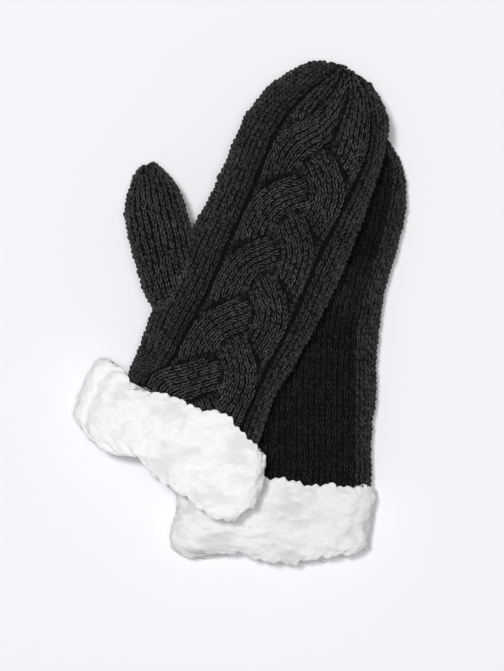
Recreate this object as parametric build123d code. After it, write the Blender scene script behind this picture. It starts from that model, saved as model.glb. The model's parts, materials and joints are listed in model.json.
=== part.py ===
from build123d import *
import os
from math import cos, radians, sin

# A pair of convertible flip-top mittens, laid flat.  The left one lies palm up on the
# table and the right one lies back up, across it.  Each mitten is worked out in its own
# flat frame: x across (thumb towards -x), y from the cuff line to the fingertips and
# zeta through the thickness, + towards the back of the hand.  Millimetres throughout.

# Hand and cap
HAND_LENGTH = 225.5       # cuff line to the end of the cap
CAP_LENGTH = 117.5        # fold line to the end of the cap
HALF_WIDTH = 46.8         # widest half-width of the hand
THICKNESS = 26.0          # hand, laid flat
BACK_FLAT = 21.0          # half-width of the flat middle of the back
PALM_FLAT = 33.0          # half-width of the palm panel with its seams
KNIT_WALL = 3.0           # chunky knit
SHERPA_WALL = 4.5         # pile lining of the hand
FLEECE_WALL = 2.5         # lining of the cap and thumb
SEAM_WIDTH = 1.2          # seam along each side of a palm panel
FOLD_GAP = 0.3            # clearance between the cap and the hand at the fold
CROWN_LENGTH = 20.5       # gathered end of the cap
ROUND_PULL = 0.62         # how square the rolled sides are

# Hem of the cap, which laps over the palm
HEM_LAP = 4.0             # how far the hem reaches below the fold
HEM_LENGTH = 30.0
HEM_WALL = 2.5
HEM_TURNING = 24.0        # depth of the turned-in layer behind the hem
TACK = 2.2                # thread tack at each end of the hem
TACK_GAP = 0.25           # slack between a tack and the knit it holds

# Cuff
CUFF_LENGTH = 47.0
CUFF_HALF_WIDTH = 59.5
CUFF_THICKNESS = 32.0
CUFF_FLAT = 34.0
CUFF_ROLL = 9.0           # rounding at each end of the cuff
CUFF_SEAM = 1.6           # seam ring between cuff and knit

# Finger stalls and the rib band that carries them
BAND_WALL = 2.0
BAND_LENGTH = 10.0        # above the fold
BAND_ROOT = 7.4           # below the fold, sewn to the lining
STALL_HALF_WIDTH = 8.8
STALL_HALF_HEIGHT = 6.5
STALL_WALL = 1.6
STALL_PITCH = 18.2
STALL_TIP = 7.0           # length over which a stall's tip closes
STALL_LENGTHS = {"little": 32.0, "ring": 42.0, "middle": 45.0, "index": 40.0}

# Thumb
THUMB_BASE_DROP = 31.5    # fold line down to the middle of the thumb's root
THUMB_ANGLE = 32.0        # thumb's axis from the hand's length
THUMB_HALF_HEIGHT = 11.0
THUMB_START = 22.0        # along the axis, where gusset ends and thumb begins
THUMB_LENGTH = 64.2       # root to tip along the axis
THUMB_PIVOT = 8.0
THUMB_CLEAR = 4.5         # middle of the thumb's root to the hand's side at the crotch
PASSAGE_HALF_WIDTH = 12.5
PASSAGE_HALF_HEIGHT = 5.2

# How the right mitten lies on the left one
TURN = 14.5               # clockwise turn of the right mitten
ACROSS_GAP = 18.8         # extra distance between the two centre lines
ALONG = 36.7              # right cuff line beyond the left one
SEAT_GAP = 0.7            # play between the two mittens

FOLD_Y = HAND_LENGTH - CAP_LENGTH
CROWN_Y = HAND_LENGTH - CROWN_LENGTH
HEM_LOW = FOLD_Y - HEM_LAP
HEM_TOP = HEM_LOW + HEM_LENGTH
CAP_START = FOLD_Y + FOLD_GAP
BAND_LOW = FOLD_Y - BAND_ROOT
BAND_TOP = FOLD_Y + BAND_LENGTH
LINING_TOP = BAND_LOW - FOLD_GAP
HALF_THICKNESS = THICKNESS / 2
CUFF_HALF = CUFF_THICKNESS / 2
HEM_OUT = HALF_THICKNESS + FOLD_GAP + HEM_WALL
SHERPA_IN = KNIT_WALL + SHERPA_WALL
FLEECE_IN = KNIT_WALL + FLEECE_WALL
BAND_OUT = FLEECE_IN + FOLD_GAP
BAND_IN = BAND_OUT + BAND_WALL
KNIT_END = 3.5            # knit gathered at the very tip
LINING_END = 13.0         # knit and lining gathered at the very tip
SEAT = THICKNESS + SEAT_GAP

# Outline, as distance from the tip and share of HALF_WIDTH
WIDTH_ROWS = [(0, 0.17), (2.5, 0.363), (7.5, 0.524), (15.5, 0.684), (25.5, 0.812),
              (35.5, 0.876), (50.5, 0.94), (75.5, 0.957), (100.5, 0.974), (125.5, 1.0),
              (150.5, 1.0), (175.5, 0.983), (200.5, 0.93), (225.5, 0.951), (272.5, 0.983)]
# Thickness, as distance from the tip and share of HALF_THICKNESS
DEPTH_ROWS = [(0, 0.23), (3.5, 0.38), (10.5, 0.56), (20.5, 0.72), (35.5, 0.87), (55.5, 1.0)]
# Cuff's rounded ends, as share of CUFF_ROLL from the end and pull-in in millimetres
ROLL_ROWS = [(0, 5.5), (0.15, 3.2), (0.45, 1.2), (1.0, 0.0)]
# Thumb's outline: distance along the axis, half-width, middle, share of the half-height
THUMB_ROWS = [(-36, 11.0, 4.0, 0.75), (-18, 17.0, 0.0, 0.9), (8, 19.0, -1.6, 1.0),
              (22, 19.4, -2.05, 1.0), (35, 18.55, -2.55, 1.0), (45, 16.2, -2.15, 0.95),
              (52, 13.2, -1.9, 0.86), (58, 9.4, -2.1, 0.72), (62, 5.6, -1.8, 0.52),
              (64.2, 2.6, -1.5, 0.34)]


def slope_at(rows, index, column):
    """Slope of a table's smooth curve at one of its rows, level at a peak or a flat."""
    before = rows[max(index - 1, 0)]
    here = rows[index]
    after = rows[min(index + 1, len(rows) - 1)]
    turns = (here[column] - before[column]) * (after[column] - here[column])
    if before is not here and after is not here and turns <= 0:
        return 0.0
    return (after[column] - before[column]) / (after[0] - before[0])


def smooth(rows, place, column=1):
    """Value of a table at a place, by a smooth curve through its rows."""
    if place <= rows[0][0]:
        return rows[0][column]
    if place >= rows[-1][0]:
        return rows[-1][column]
    above = next(i for i, row in enumerate(rows) if row[0] >= place)
    low, high = rows[above - 1], rows[above]
    span = high[0] - low[0]
    slope_low = slope_at(rows, above - 1, column)
    slope_high = slope_at(rows, above, column)
    t = (place - low[0]) / span
    rise = high[column] - low[column]
    bend_low = slope_low * span - rise
    bend_high = rise - slope_high * span
    return low[column] + rise * t + t * (1 - t) * (bend_low * (1 - t) + bend_high * t)


def half_width(y):
    return HALF_WIDTH * smooth(WIDTH_ROWS, HAND_LENGTH - y)


def half_depth(y):
    return HALF_THICKNESS * smooth(DEPTH_ROWS, HAND_LENGTH - y)


class Mitten:
    """Where one mitten lies: its centre line, tilt and place on the table."""

    def __init__(self, name, side, middle, lift, tilt, slant, cuff_middle, turn, origin, droop):
        self.name = name
        self.side = side                  # +1 back up, -1 palm up
        self.middle_rows = middle         # centre line, by distance from the tip
        self.lift_rows = lift             # height of the underside along the centre line
        self.tilt_rows = tilt             # rise per millimetre across
        self.slant = slant                # skew of the cuff
        self.cuff_middle = cuff_middle
        self.turn = radians(turn)
        self.origin = origin
        self.droop = droop                # how steeply the thumb hangs

    def middle(self, y):
        return smooth(self.middle_rows, HAND_LENGTH - y)

    def core(self, y):
        """Height of the middle surface over the underside."""
        rows = [(0, CUFF_HALF), (FOLD_Y / 2, HALF_THICKNESS), (HAND_LENGTH - 55, HALF_THICKNESS),
                (HAND_LENGTH, 0.7 * HALF_THICKNESS)]
        return smooth(rows, y)

    def middle_height(self, x, y):
        rise = smooth(self.tilt_rows, y) * (x - self.middle(y))
        return self.core(y) + smooth(self.lift_rows, y) + rise

    def flat(self, x, y, z):
        """Turn a place on the table into the pair's frame."""
        along, across = cos(self.turn), sin(self.turn)
        return Vector(self.origin[0] + x * along + y * across,
                      self.origin[1] - x * across + y * along, z)

    def lay(self, x, y, zeta):
        fade = min(max(1 - y / 60, 0), 1)
        z = self.middle_height(x, y) + self.side * zeta
        return self.flat(x, y + self.slant * fade * x, z)

    def thumb_place(self, along, across, zeta):
        """A place on the thumb, from its axis, laid like the hand beside it."""
        lean = radians(THUMB_ANGLE)
        root_y = FOLD_Y - THUMB_BASE_DROP
        root_x = self.middle(HEM_LOW) - half_width(HEM_LOW) - THUMB_CLEAR
        x = root_x - along * sin(lean) + across * cos(lean)
        y = root_y + along * cos(lean) + across * sin(lean)
        ahead = self.middle_height(root_x, root_y + 10)
        level = self.middle_height(root_x, root_y)
        beside = self.middle_height(root_x + 10, root_y)
        z = level + (beside - level) / 10 * (x - root_x) + (ahead - level) / 10 * (y - root_y)
        bend = min(max(along, 0), THUMB_START)
        drop = self.droop * (bend * bend / (2 * THUMB_START) + max(along - THUMB_START, 0))
        return self.flat(x, y, z - drop + self.side * zeta)


LEFT = Mitten(
    "left", -1,
    middle=[(0, 4), (35.5, 4.5), (55.5, 3.5), (75.5, 1), (100.5, -4), (125.5, -6),
            (175.5, -2), (225.5, 3), (272.5, 3)],
    lift=[(0, 0), (1, 0)], tilt=[(0, 0), (1, 0)], slant=0.08,
    cuff_middle=-7, turn=0, origin=(0, 0), droop=0.03)
RIGHT = Mitten(
    "right", 1,
    middle=[(0, 8), (7.5, 9.5), (15.5, 10.5), (35.5, 8.9), (50.5, 8), (75.5, 8.4),
            (100.5, 8.2), (125.5, 6.3), (150.5, 3.8), (175.5, 1), (200.5, -0.5), (225.5, 0)],
    lift=[(-50, CUFF_THICKNESS - 9.5), (0, CUFF_THICKNESS - 10.5), (FOLD_Y - 58, SEAT + 0.2),
          (FOLD_Y - 8, SEAT + HEM_WALL + 2.4), (FOLD_Y + 42, SEAT + HEM_WALL + 2.6),
          (FOLD_Y + 92, SEAT + 1)],
    tilt=[(-50, 0.294), (0, 0.25), (FOLD_Y - 76, 0.07), (FOLD_Y - 8, 0.05), (FOLD_Y + 42, 0.03),
          (FOLD_Y + 92, 0)], slant=-0.1,
    cuff_middle=-4, turn=TURN, origin=(-HALF_WIDTH - ACROSS_GAP, ALONG), droop=0.42)

STATIONS = sorted({
    -CUFF_LENGTH, -CUFF_LENGTH + 0.15 * CUFF_ROLL, -CUFF_LENGTH + 0.45 * CUFF_ROLL,
    -CUFF_LENGTH + CUFF_ROLL, -CUFF_LENGTH * 0.5, -CUFF_SEAM - CUFF_ROLL,
    -CUFF_SEAM - 0.45 * CUFF_ROLL, -CUFF_SEAM - 0.15 * CUFF_ROLL, -CUFF_SEAM, 0.0,
    FOLD_Y * 0.12, FOLD_Y * 0.25, FOLD_Y * 0.4, FOLD_Y * 0.55, FOLD_Y * 0.7, FOLD_Y * 0.83,
    LINING_TOP, BAND_LOW, HEM_LOW, FOLD_Y - FOLD_GAP, FOLD_Y, CAP_START, BAND_TOP,
    HEM_TOP - HEM_TURNING, HEM_TOP, CROWN_Y, HAND_LENGTH - 75.5, HAND_LENGTH - 55.5,
    HAND_LENGTH - 42, HAND_LENGTH - 30, HAND_LENGTH - LINING_END, HAND_LENGTH - 7.5,
    HAND_LENGTH - KNIT_END, HAND_LENGTH - 1.5, HAND_LENGTH})


def between(low, high):
    """Stations from low to high, both ends included."""
    inner = [y for y in STATIONS if low + 0.2 < y < high - 0.2]
    return [low] + inner + [high]


def outline(points):
    """Closed wire from runs of two points (straight) or four (rolled)."""
    edges = []
    for run in points:
        if len(run) == 2:
            edges.append(Edge.make_line(*run))
        else:
            edges.append(Edge.make_bezier(*run))
    return Wire(edges)


def rolled(width, depth, palm_flat, back_flat):
    """Rolled outline from the palm seam, up the +x side and over to the -x side."""
    pull = ROUND_PULL
    palm_pull = palm_flat + pull * (width - palm_flat)
    back_pull = back_flat + pull * (width - back_flat)
    low = [(palm_flat, -depth), (palm_pull, -depth), (width, -pull * depth), (width, 0)]
    high = [(width, 0), (width, pull * depth), (back_pull, depth), (back_flat, depth)]
    top = [(back_flat, depth), (-back_flat, depth)]
    high_far = [(-x, z) for x, z in reversed(high)]
    low_far = [(-x, z) for x, z in reversed(low)]
    return [low, high, top, high_far, low_far]


def backwards(runs):
    return [list(reversed(run)) for run in reversed(runs)]


def flats(width, inset):
    """Palm and back flats that still leave a rolled side of this width."""
    room = width - inset - 1.0
    return min(PALM_FLAT, 0.86 * room), min(BACK_FLAT, 0.6 * room)


def hand_ring(mitten, y, inset):
    """Closed outline of the hand, inset from its outer face."""
    width = half_width(y)
    palm_flat, back_flat = flats(width, LINING_END if y > CROWN_Y else 0)
    runs = rolled(width - inset, half_depth(y) - inset, min(palm_flat, width - inset - 0.5),
                  min(back_flat, width - inset - 0.7))
    palm = [runs[-1][-1], runs[0][0]]
    centre = mitten.middle(y)
    return outline([[mitten.lay(centre + x, y, z) for x, z in run] for run in runs + [palm]])


def hand_back(mitten, y, outside, inside):
    """Outline of a layer that wraps the back and both sides, open at the palm."""
    width, depth = half_width(y), half_depth(y)
    palm_flat, back_flat = flats(width, 0)
    outer = rolled(width - outside, depth - outside, palm_flat, back_flat)
    inner = backwards(rolled(width - inside, depth - inside, palm_flat, back_flat))
    join_far = [outer[-1][-1], inner[0][0]]
    join_near = [inner[-1][-1], outer[0][0]]
    centre = mitten.middle(y)
    runs = outer + [join_far] + inner + [join_near]
    return outline([[mitten.lay(centre + x, y, z) for x, z in run] for run in runs])


def strip(mitten, y, left, right, low, high):
    """Outline of a flat layer between two places across and two depths."""
    centre = mitten.middle(y)
    corners = [(left, low), (right, low), (right, high), (left, high)]
    places = [mitten.lay(centre + x, y, z) for x, z in corners]
    return Wire.make_polygon(places, close=True)


def loft_of(section, stations):
    return Solid.make_loft([section(place) for place in stations], ruled=True)


def hand_tube(mitten, low, high, outside, inside, closed_by=0.0):
    """Tube with the hand's outline; closed_by leaves that much material at its top."""
    body = loft_of(lambda y: hand_ring(mitten, y, outside), between(low, high))
    top = high - closed_by if closed_by else high + 1.0
    stations = [low - 1.0] + between(low, top if closed_by else high)
    stations += [] if closed_by else [top]
    bore = loft_of(lambda y: hand_ring(mitten, y, inside), stations)
    return body - bore


def palm_edge(y):
    return flats(half_width(y), 0)[0]


def back_layer(mitten, low, high, outside, inside):
    return loft_of(lambda y: hand_back(mitten, y, outside, inside), between(low, high))


def palm_layer(mitten, low, high, outside, inside, edge=0.0):
    def section(y):
        reach = palm_edge(y) - edge
        return strip(mitten, y, -reach, reach, outside - half_depth(y), inside - half_depth(y))
    return loft_of(section, between(low, high))


def seams(mitten, low, high):
    """The two seams that join a palm panel to the sides."""
    def section(side):
        def at(y):
            far = palm_edge(y) * side
            near = (palm_edge(y) - SEAM_WIDTH) * side
            depth = half_depth(y)
            return strip(mitten, y, near, far, -depth, KNIT_WALL - depth)
        return at
    return [loft_of(section(side), between(low, high)) for side in (-1, 1)]


def cuff_ring(mitten, y):
    """Outer outline of the cuff, rolled in towards both of its ends."""
    from_end = min(y + CUFF_LENGTH, -CUFF_SEAM - y)
    pull_in = smooth(ROLL_ROWS, max(from_end, 0) / CUFF_ROLL)
    runs = rolled(CUFF_HALF_WIDTH - pull_in, CUFF_HALF - pull_in, CUFF_FLAT, CUFF_FLAT)
    palm = [runs[-1][-1], runs[0][0]]
    centre = mitten.middle(0) + mitten.cuff_middle
    return outline([[mitten.lay(centre + x, y, z) for x, z in run] for run in runs + [palm]])


def cuff(mitten):
    body = loft_of(lambda y: cuff_ring(mitten, y), between(-CUFF_LENGTH, -CUFF_SEAM))
    stations = [-CUFF_LENGTH - 1] + between(-CUFF_LENGTH, -CUFF_SEAM) + [-CUFF_SEAM + 1]
    return body - loft_of(lambda y: hand_ring(mitten, y, KNIT_WALL), stations)


def thumb_ring(mitten, along, inset):
    """Closed outline across the thumb, inset from its outer face."""
    width = smooth(THUMB_ROWS, along, 1) - inset
    depth = smooth(THUMB_ROWS, along, 3) * THUMB_HALF_HEIGHT - inset
    middle = smooth(THUMB_ROWS, along, 2)
    runs = rolled(width, depth, 0.4 * width, 0.4 * width)
    palm = [runs[-1][-1], runs[0][0]]
    return outline([[mitten.thumb_place(along, middle + n, z) for n, z in run]
                    for run in runs + [palm]])


def thumb_shell(mitten, start, end, outside, inside, end_wall):
    marks = [row[0] for row in THUMB_ROWS if start + 0.5 < row[0] < end - 0.5]
    body = loft_of(lambda t: thumb_ring(mitten, t, outside), [start] + marks + [end])
    last = end - end_wall
    inner = [start - 1, start] + [mark for mark in marks if mark < last - 0.5] + [last]
    return body - loft_of(lambda t: thumb_ring(mitten, t, inside), inner)


def passage(mitten):
    """Way from the hand's inside into the thumb."""
    def section(along):
        middle = smooth(THUMB_ROWS, along, 2)
        flat = 0.5 * PASSAGE_HALF_WIDTH
        runs = rolled(PASSAGE_HALF_WIDTH, PASSAGE_HALF_HEIGHT, flat, flat)
        palm = [runs[-1][-1], runs[0][0]]
        return outline([[mitten.thumb_place(along, middle + n, z) for n, z in run]
                        for run in runs + [palm]])
    return loft_of(section, [-36, -18, 8, THUMB_START + 1])


def gusset(mitten):
    """Knit bridge from the hand's side wall to the thumb."""
    marks = [-36, -18, -6, 8, 15, THUMB_START - FOLD_GAP]
    body = loft_of(lambda t: thumb_ring(mitten, t, 0), marks)
    hand = loft_of(lambda y: hand_ring(mitten, y, 0), between(0, FOLD_Y))
    return body - hand - passage(mitten)


def stall(mitten, finger, place):
    """One knitted finger stall, open at the band and closed at its tip."""
    length = STALL_LENGTHS[finger]
    top = BAND_TOP + length

    def section(inset):
        def at(y):
            to_tip = max(top - y, 0) / STALL_TIP
            share = 0.4 + 0.6 * min(to_tip, 1) ** 0.5
            width = STALL_HALF_WIDTH * share - inset
            depth = STALL_HALF_HEIGHT * share - inset
            runs = rolled(width, depth, 0.3 * width, 0.3 * width)
            palm = [runs[-1][-1], runs[0][0]]
            centre = mitten.middle(y) + place
            return outline([[mitten.lay(centre + x, y, z) for x, z in run]
                            for run in runs + [palm]])
        return at

    ends = [top - STALL_TIP, top - 0.4 * STALL_TIP]
    marks = [BAND_TOP] + [y for y in STATIONS if BAND_TOP + 1 < y < ends[0] - 1] + ends
    body = loft_of(section(0), marks + [top])
    return body - loft_of(section(STALL_WALL), [BAND_TOP - 1] + marks)


def hem(mitten):
    """Turned hem of the cap: the layer that laps the palm and the one behind it."""
    def lap(y):
        reach = palm_edge(y)
        return strip(mitten, y, -reach, reach, -HEM_OUT, -HALF_THICKNESS - FOLD_GAP)

    def turning(y):
        reach = palm_edge(y) - FOLD_GAP
        return strip(mitten, y, -reach, reach, -HALF_THICKNESS - FOLD_GAP,
                     KNIT_WALL - HALF_THICKNESS)
    front = loft_of(lap, between(HEM_LOW, HEM_TOP))
    return front + loft_of(turning, between(HEM_TOP - HEM_TURNING, HEM_TOP))


def tacks(mitten):
    """Short thread bars that hold the ends of the hem to the cap's sides."""
    bars = []
    for side in (-1, 1):
        for y in (CAP_START + 2, HEM_TOP - 2 - TACK):
            def section(place, side=side):
                far = (palm_edge(place) + TACK) * side
                near = (palm_edge(place) + TACK_GAP) * side
                return strip(mitten, place, near, far, -HEM_OUT, -half_depth(place) - TACK_GAP / 2)
            bars.append(loft_of(section, between(y, y + TACK)))
    return bars


def crown_stitch(mitten):
    """Gathering stitch that closes the end of the cap."""
    width, depth = 0.6 * half_width(HAND_LENGTH), 0.6 * half_depth(HAND_LENGTH)
    return loft_of(lambda y: strip(mitten, y, -width, width, -depth, depth),
                   [HAND_LENGTH, HAND_LENGTH + SEAM_WIDTH])


def build(mitten):
    """All the pieces of one mitten, by name."""
    way = passage(mitten)
    side = STALL_PITCH
    places = {"index": -1.5 * side, "middle": -0.5 * side, "ring": 0.5 * side,
              "little": 1.5 * side}
    pieces = {
        "back_panel": back_layer(mitten, 0, FOLD_Y, 0, KNIT_WALL) - way,
        "palm_panel": palm_layer(mitten, 0, FOLD_Y, 0, KNIT_WALL, SEAM_WIDTH),
        "palm_seams": seams(mitten, 0, FOLD_Y),
        "back_lining": back_layer(mitten, -CUFF_LENGTH, LINING_TOP, KNIT_WALL, SHERPA_IN) - way,
        "palm_lining": palm_layer(mitten, -CUFF_LENGTH, LINING_TOP, KNIT_WALL, SHERPA_IN),
        "cuff": cuff(mitten),
        "cuff_seam": hand_tube(mitten, -CUFF_SEAM, 0, 0.6, KNIT_WALL),
        "thumb_gusset": gusset(mitten),
        "knuckle_band": hand_tube(mitten, BAND_LOW, FOLD_Y - FOLD_GAP, KNIT_WALL, BAND_IN)
        + hand_tube(mitten, FOLD_Y - FOLD_GAP, BAND_TOP, BAND_OUT, BAND_IN),
        "cap_back": back_layer(mitten, CAP_START, CROWN_Y, 0, KNIT_WALL),
        "cap_palm": palm_layer(mitten, HEM_TOP, CROWN_Y, 0, KNIT_WALL, SEAM_WIDTH),
        "cap_seams": seams(mitten, HEM_TOP, CROWN_Y),
        "cap_hem": hem(mitten),
        "hem_tacks": tacks(mitten),
        "cap_crown": hand_tube(mitten, CROWN_Y, HAND_LENGTH, 0, KNIT_WALL, KNIT_END),
        "cap_lining": hand_tube(mitten, CAP_START, HAND_LENGTH - KNIT_END, KNIT_WALL, FLEECE_IN,
                                LINING_END - KNIT_END),
        "crown_stitch": crown_stitch(mitten),
        "thumb_stall": thumb_shell(mitten, THUMB_START, THUMB_LENGTH, 0, KNIT_WALL, 4.0),
        "thumb_lining": thumb_shell(mitten, THUMB_START, THUMB_LENGTH - 4.0, KNIT_WALL,
                                    FLEECE_IN, 4.0),
    }
    for finger, place in places.items():
        pieces[finger + "_stall"] = stall(mitten, finger, place)
    return pieces


def main():
    os.makedirs("parts", exist_ok=True)
    pair = {}
    for mitten in (LEFT, RIGHT):
        for name, piece in build(mitten).items():
            solids = piece if isinstance(piece, list) else piece.solids()
            pair[mitten.name + "_" + name] = list(solids)
    box = Compound([solid for solids in pair.values() for solid in solids]).bounding_box()
    shift = Location((-(box.min.X + box.max.X) / 2, -(box.min.Y + box.max.Y) / 2, -box.min.Z))
    for name, solids in pair.items():
        placed = [solid.moved(shift) for solid in solids]
        shape = placed[0] if len(placed) == 1 else Compound(placed)
        export_step(shape, "parts/" + name + ".step")
    print("shift", shift.position)
    for mitten in (LEFT, RIGHT):
        fold = mitten.lay(mitten.middle(FOLD_Y), FOLD_Y, HALF_THICKNESS) + shift.position
        root = mitten.thumb_place(THUMB_PIVOT, 0, 0) + shift.position
        print(mitten.name, "fold", fold, "thumb root", root)


main()
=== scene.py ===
import json
import math

import bpy
import numpy as np
from mathutils import Matrix, Vector

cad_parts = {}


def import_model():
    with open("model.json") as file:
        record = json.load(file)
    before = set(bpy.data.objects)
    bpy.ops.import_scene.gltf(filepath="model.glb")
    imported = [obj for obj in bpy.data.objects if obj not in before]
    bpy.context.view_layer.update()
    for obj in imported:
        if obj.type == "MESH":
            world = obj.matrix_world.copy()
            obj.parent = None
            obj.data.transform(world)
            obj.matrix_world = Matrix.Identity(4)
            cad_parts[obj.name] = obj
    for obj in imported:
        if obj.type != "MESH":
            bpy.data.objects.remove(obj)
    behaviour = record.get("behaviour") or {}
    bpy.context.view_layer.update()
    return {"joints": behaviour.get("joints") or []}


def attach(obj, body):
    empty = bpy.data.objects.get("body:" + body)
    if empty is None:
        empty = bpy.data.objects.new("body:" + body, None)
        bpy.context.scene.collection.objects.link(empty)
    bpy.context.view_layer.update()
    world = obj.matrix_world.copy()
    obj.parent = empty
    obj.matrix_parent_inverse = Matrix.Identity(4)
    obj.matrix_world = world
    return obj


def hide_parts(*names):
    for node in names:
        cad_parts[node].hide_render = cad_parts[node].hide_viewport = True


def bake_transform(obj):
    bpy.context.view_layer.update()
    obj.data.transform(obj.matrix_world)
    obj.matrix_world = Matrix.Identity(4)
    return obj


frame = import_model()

# The pair is worked out in millimetres, in each mitten's own flat frame: x across with
# the thumb towards -x, y from the cuff line to the fingertips, and zeta through the
# thickness, + towards the back of the hand.  Meshes are made in metres.
MM = 0.001
HAND_LENGTH = 225.5
FOLD_Y = 108.0
FOLD_GAP = 0.3
HALF_WIDTH = 46.8
HALF_THICKNESS = 13.0
BACK_FLAT = 21.0
PALM_FLAT = 33.0
ROUND_PULL = 0.62
ROUND_STEPS = 24          # points on each quarter of an outline
CROWN_Y = 205.0
GATHERED = 13.0           # width gathered into the crown
HEM_LOW = 104.0
HEM_TOP = 134.0
HEM_STAND = 2.8           # hem's face beyond the palm's face
CUFF_LENGTH = 47.0
CUFF_HALF_WIDTH = 59.5
CUFF_HALF = 16.0
CUFF_FLAT = 34.0
SEAT = 26.7
HEM_WALL = 2.5
THUMB_ROOT_Y = 76.5
THUMB_ANGLE = math.radians(32.0)
THUMB_HALF_HEIGHT = 11.0
THUMB_START = 22.0
THUMB_END = 64.2
THUMB_CLEAR = 4.5
BAND_LOW = 100.6
BAND_TOP = 118.0
KNIT_WALL = 3.0
BAND_OUT = 5.8
BAND_IN = 7.8
STALL_PITCH = 18.2
STALL_HALF_WIDTH = 8.8
STALL_HALF_HEIGHT = 6.5
STALL_WALL = 1.6
STALL_TIP = 7.0
STALLS = {"index": (-1.5, 40.0), "middle": (-0.5, 45.0), "ring": (0.5, 42.0),
          "little": (1.5, 32.0)}

# Knit
WALE = 3.4                # width of a stitch
COURSE = 3.1              # distance from stitch to stitch along a column
STITCH_COURSE = 3.32      # length of a stitch, which reaches a little into the next one
PALM_COURSE = 3.5
YARN = 1.14               # half the thickness of the yarn
# One leg of a stitch: shares of its width and of its length, and height
LEG = {"Start": (0.1, -0.52, -1.45), "Start Handle": (0.13, -0.43, 1.65),
       "End Handle": (0.31, 0.4, 1.65), "End": (0.24, 0.5, -1.45)}
LEG_STEPS = 4
LEG_SIDES = 5
STITCH_INSET = 1.35       # middle of a stitch's yarn below the knit's face
GROUND_INSET = 1.85       # ground behind the stitches, dark with painted shade
GROUND_WALL = 0.5
GROUND_COLUMNS = (14, 44, 11)
INSIDE_SHADE = 0.12       # shade of the ground seen between stitches
PLAIN_SHADE = 0.78         # painted shade of plain knit beside the raised middle of a strand
# painted shade of the thumb's stitches
THUMB_SHADE = 0.94
# painted shade of the low stitches between the strands and the grooves
FILL_SHADE = 0.6
GROOVE_SHADE = 0.27        # painted shade lost beside a groove for each mm that it dips
GROOVE_GROUND = 4.0       # ground under the grooves and the cable
GROOVE_DEPTH = 1.7        # extra depth of the stitches beside a groove
GROOVE_REACH = 2.6
GROOVE_HALF = 0.85        # half-width of the bare groove
LEFT_WALES = 14           # thumb side of the back, palm seam to groove
RIGHT_WALES = 11
PALM_WALES = 19
PALM_COLUMNS = 21         # columns of the ground behind the palm's stitches
THUMB_WALES = 26
THUMB_COLUMNS = 52
THUMB_GROUND = 3.0
BURIED = 2.2              # thumb stitches further inside the hand than this are left out
NARROW = 0.56             # share of a wale below which two stitches become one
KNOT_Y = 136.5            # small knot of yarn on the right cap's edge
KNOT_LEVEL = 2.0
KNOT_STITCHES = 6
KNOT_SPREAD = (1.3, 1.2)
KNOT_INSET = 0.9
TIP_BACK = 1.1            # stitches over the fingertip end, back from the very tip
TIP_REACH = 7.6
TIP_STITCHES = 7
TIP_LEVELS = (-1.7, 1.7)
TIP_DEEP = 9.0            # length of the ground under them

# Cable: three strands plaited over and under one another
STRANDS = 3
STRAND_WALES = 6
STRAND_SHARE = 0.385      # strand's half-width as a share of the panel's
STRAND_GROUND = 1.4       # ground below the middle of a strand's yarn
STRAND_EDGE_SHADE = 0.56        # painted shade at a strand's edge
CROWN_LIGHT = 0.85         # painted light gained at its raised middle
PLAIT_LENGTH = 119.0      # length over which a strand comes back to its place
PLAIT_START = 147.0       # place along where the first strand crosses the middle
PLAIT_END = 176.0
PLAIT_EASE = 11.0
PLAIT_FLATTEN = 178.0     # above here the strands come to lie flat side by side
PLAIT_FLAT = 196.0
FULLNESS = 0.08           # how squarely a strand turns at its outer place
CREASE_FROM = 1.03        # the crease beside a strand, with painted shadow out to CREASE_TO, in shares of its half-width
CREASE_TO = 1.5
CABLE_BASE = 3.0
CABLE_CROWN = 4.8
CABLE_RISE = 2.6
CABLE_START = 13.0        # the cable swells up over this length above the cuff
CABLE_STEP = 0.75
FOLD_SHARE = 0.3          # share of the cable's height left at the fold, so it can fold flat
FOLD_ROOM = 56.0          # length over which the cable gets its full height back
FILL_WALES = 15           # plain stitches behind the cable
FILL_INSET = 2.9
FOLD_REACH = 7.0          # length past the fold to a place that make_knit works out but does not use
FOLD_STRIP = 12.0
FOLD_DEPTH = 8.5          # only knit nearer the back's face than this goes into the strip at the fold

# Thread, linings and cuffs
THREAD_YARN = 0.8
SEAM_INSET = 1.1
SEAM_WALE = 1.0
SEAM_COURSE = 2.6
SEAM_SIZE = (0.62, 0.72, 0.8)
TACK_SIZE = (0.35, 0.9, 0.9)
TACK_PITCH = 0.66
GATHER_STITCHES = 10
GATHER_REACH = 2.4
GATHER_SIZE = (0.6, 0.6, 0.5)
LINING_START = -42.0      # how far the hand's lining reaches down inside the cuff
LINING_ROWS = 130
LINING_COLUMNS = 200
LINING_IN = 7.2
CAP_FLEECE = (4.7, 5.5)   # outer and inner face of a fleece, below the knit's face
THUMB_FLEECE = (3.2, 5.2)
TAPE = (0.9, 2.8)
FLEECE_CURL = {"Curl Size": 2.6, "Curl Height": 0.4, "Lump Height": 0.2}
CUFF_COLUMNS = 330
CUFF_STEPS = 128
CUFF_FLOOR = 0.25         # lowest level of a cuff's pile
CREASE_PINCH = 0.22       # share of its thickness that a cuff loses at its crease
CREASE_WIDTH = 3.0
# Waves of a cuff's top and low edge: height, count round the cuff, share of the seed in
# the place where it starts, and that place
TOP_WAVES = [(0.7, 9, 1, 0), (0.6, 23, 2, 0), (0.55, 47, 0, 0.7)]
LOW_WAVES = [(0.9, 6, 1.3, 0), (0.7, 19, 0, 0), (0.5, 37, 1, 0)]
RIB_COLUMNS = 300
RIBS = 60
STALL_COLUMNS = 108
STALL_WALES = 18

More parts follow.
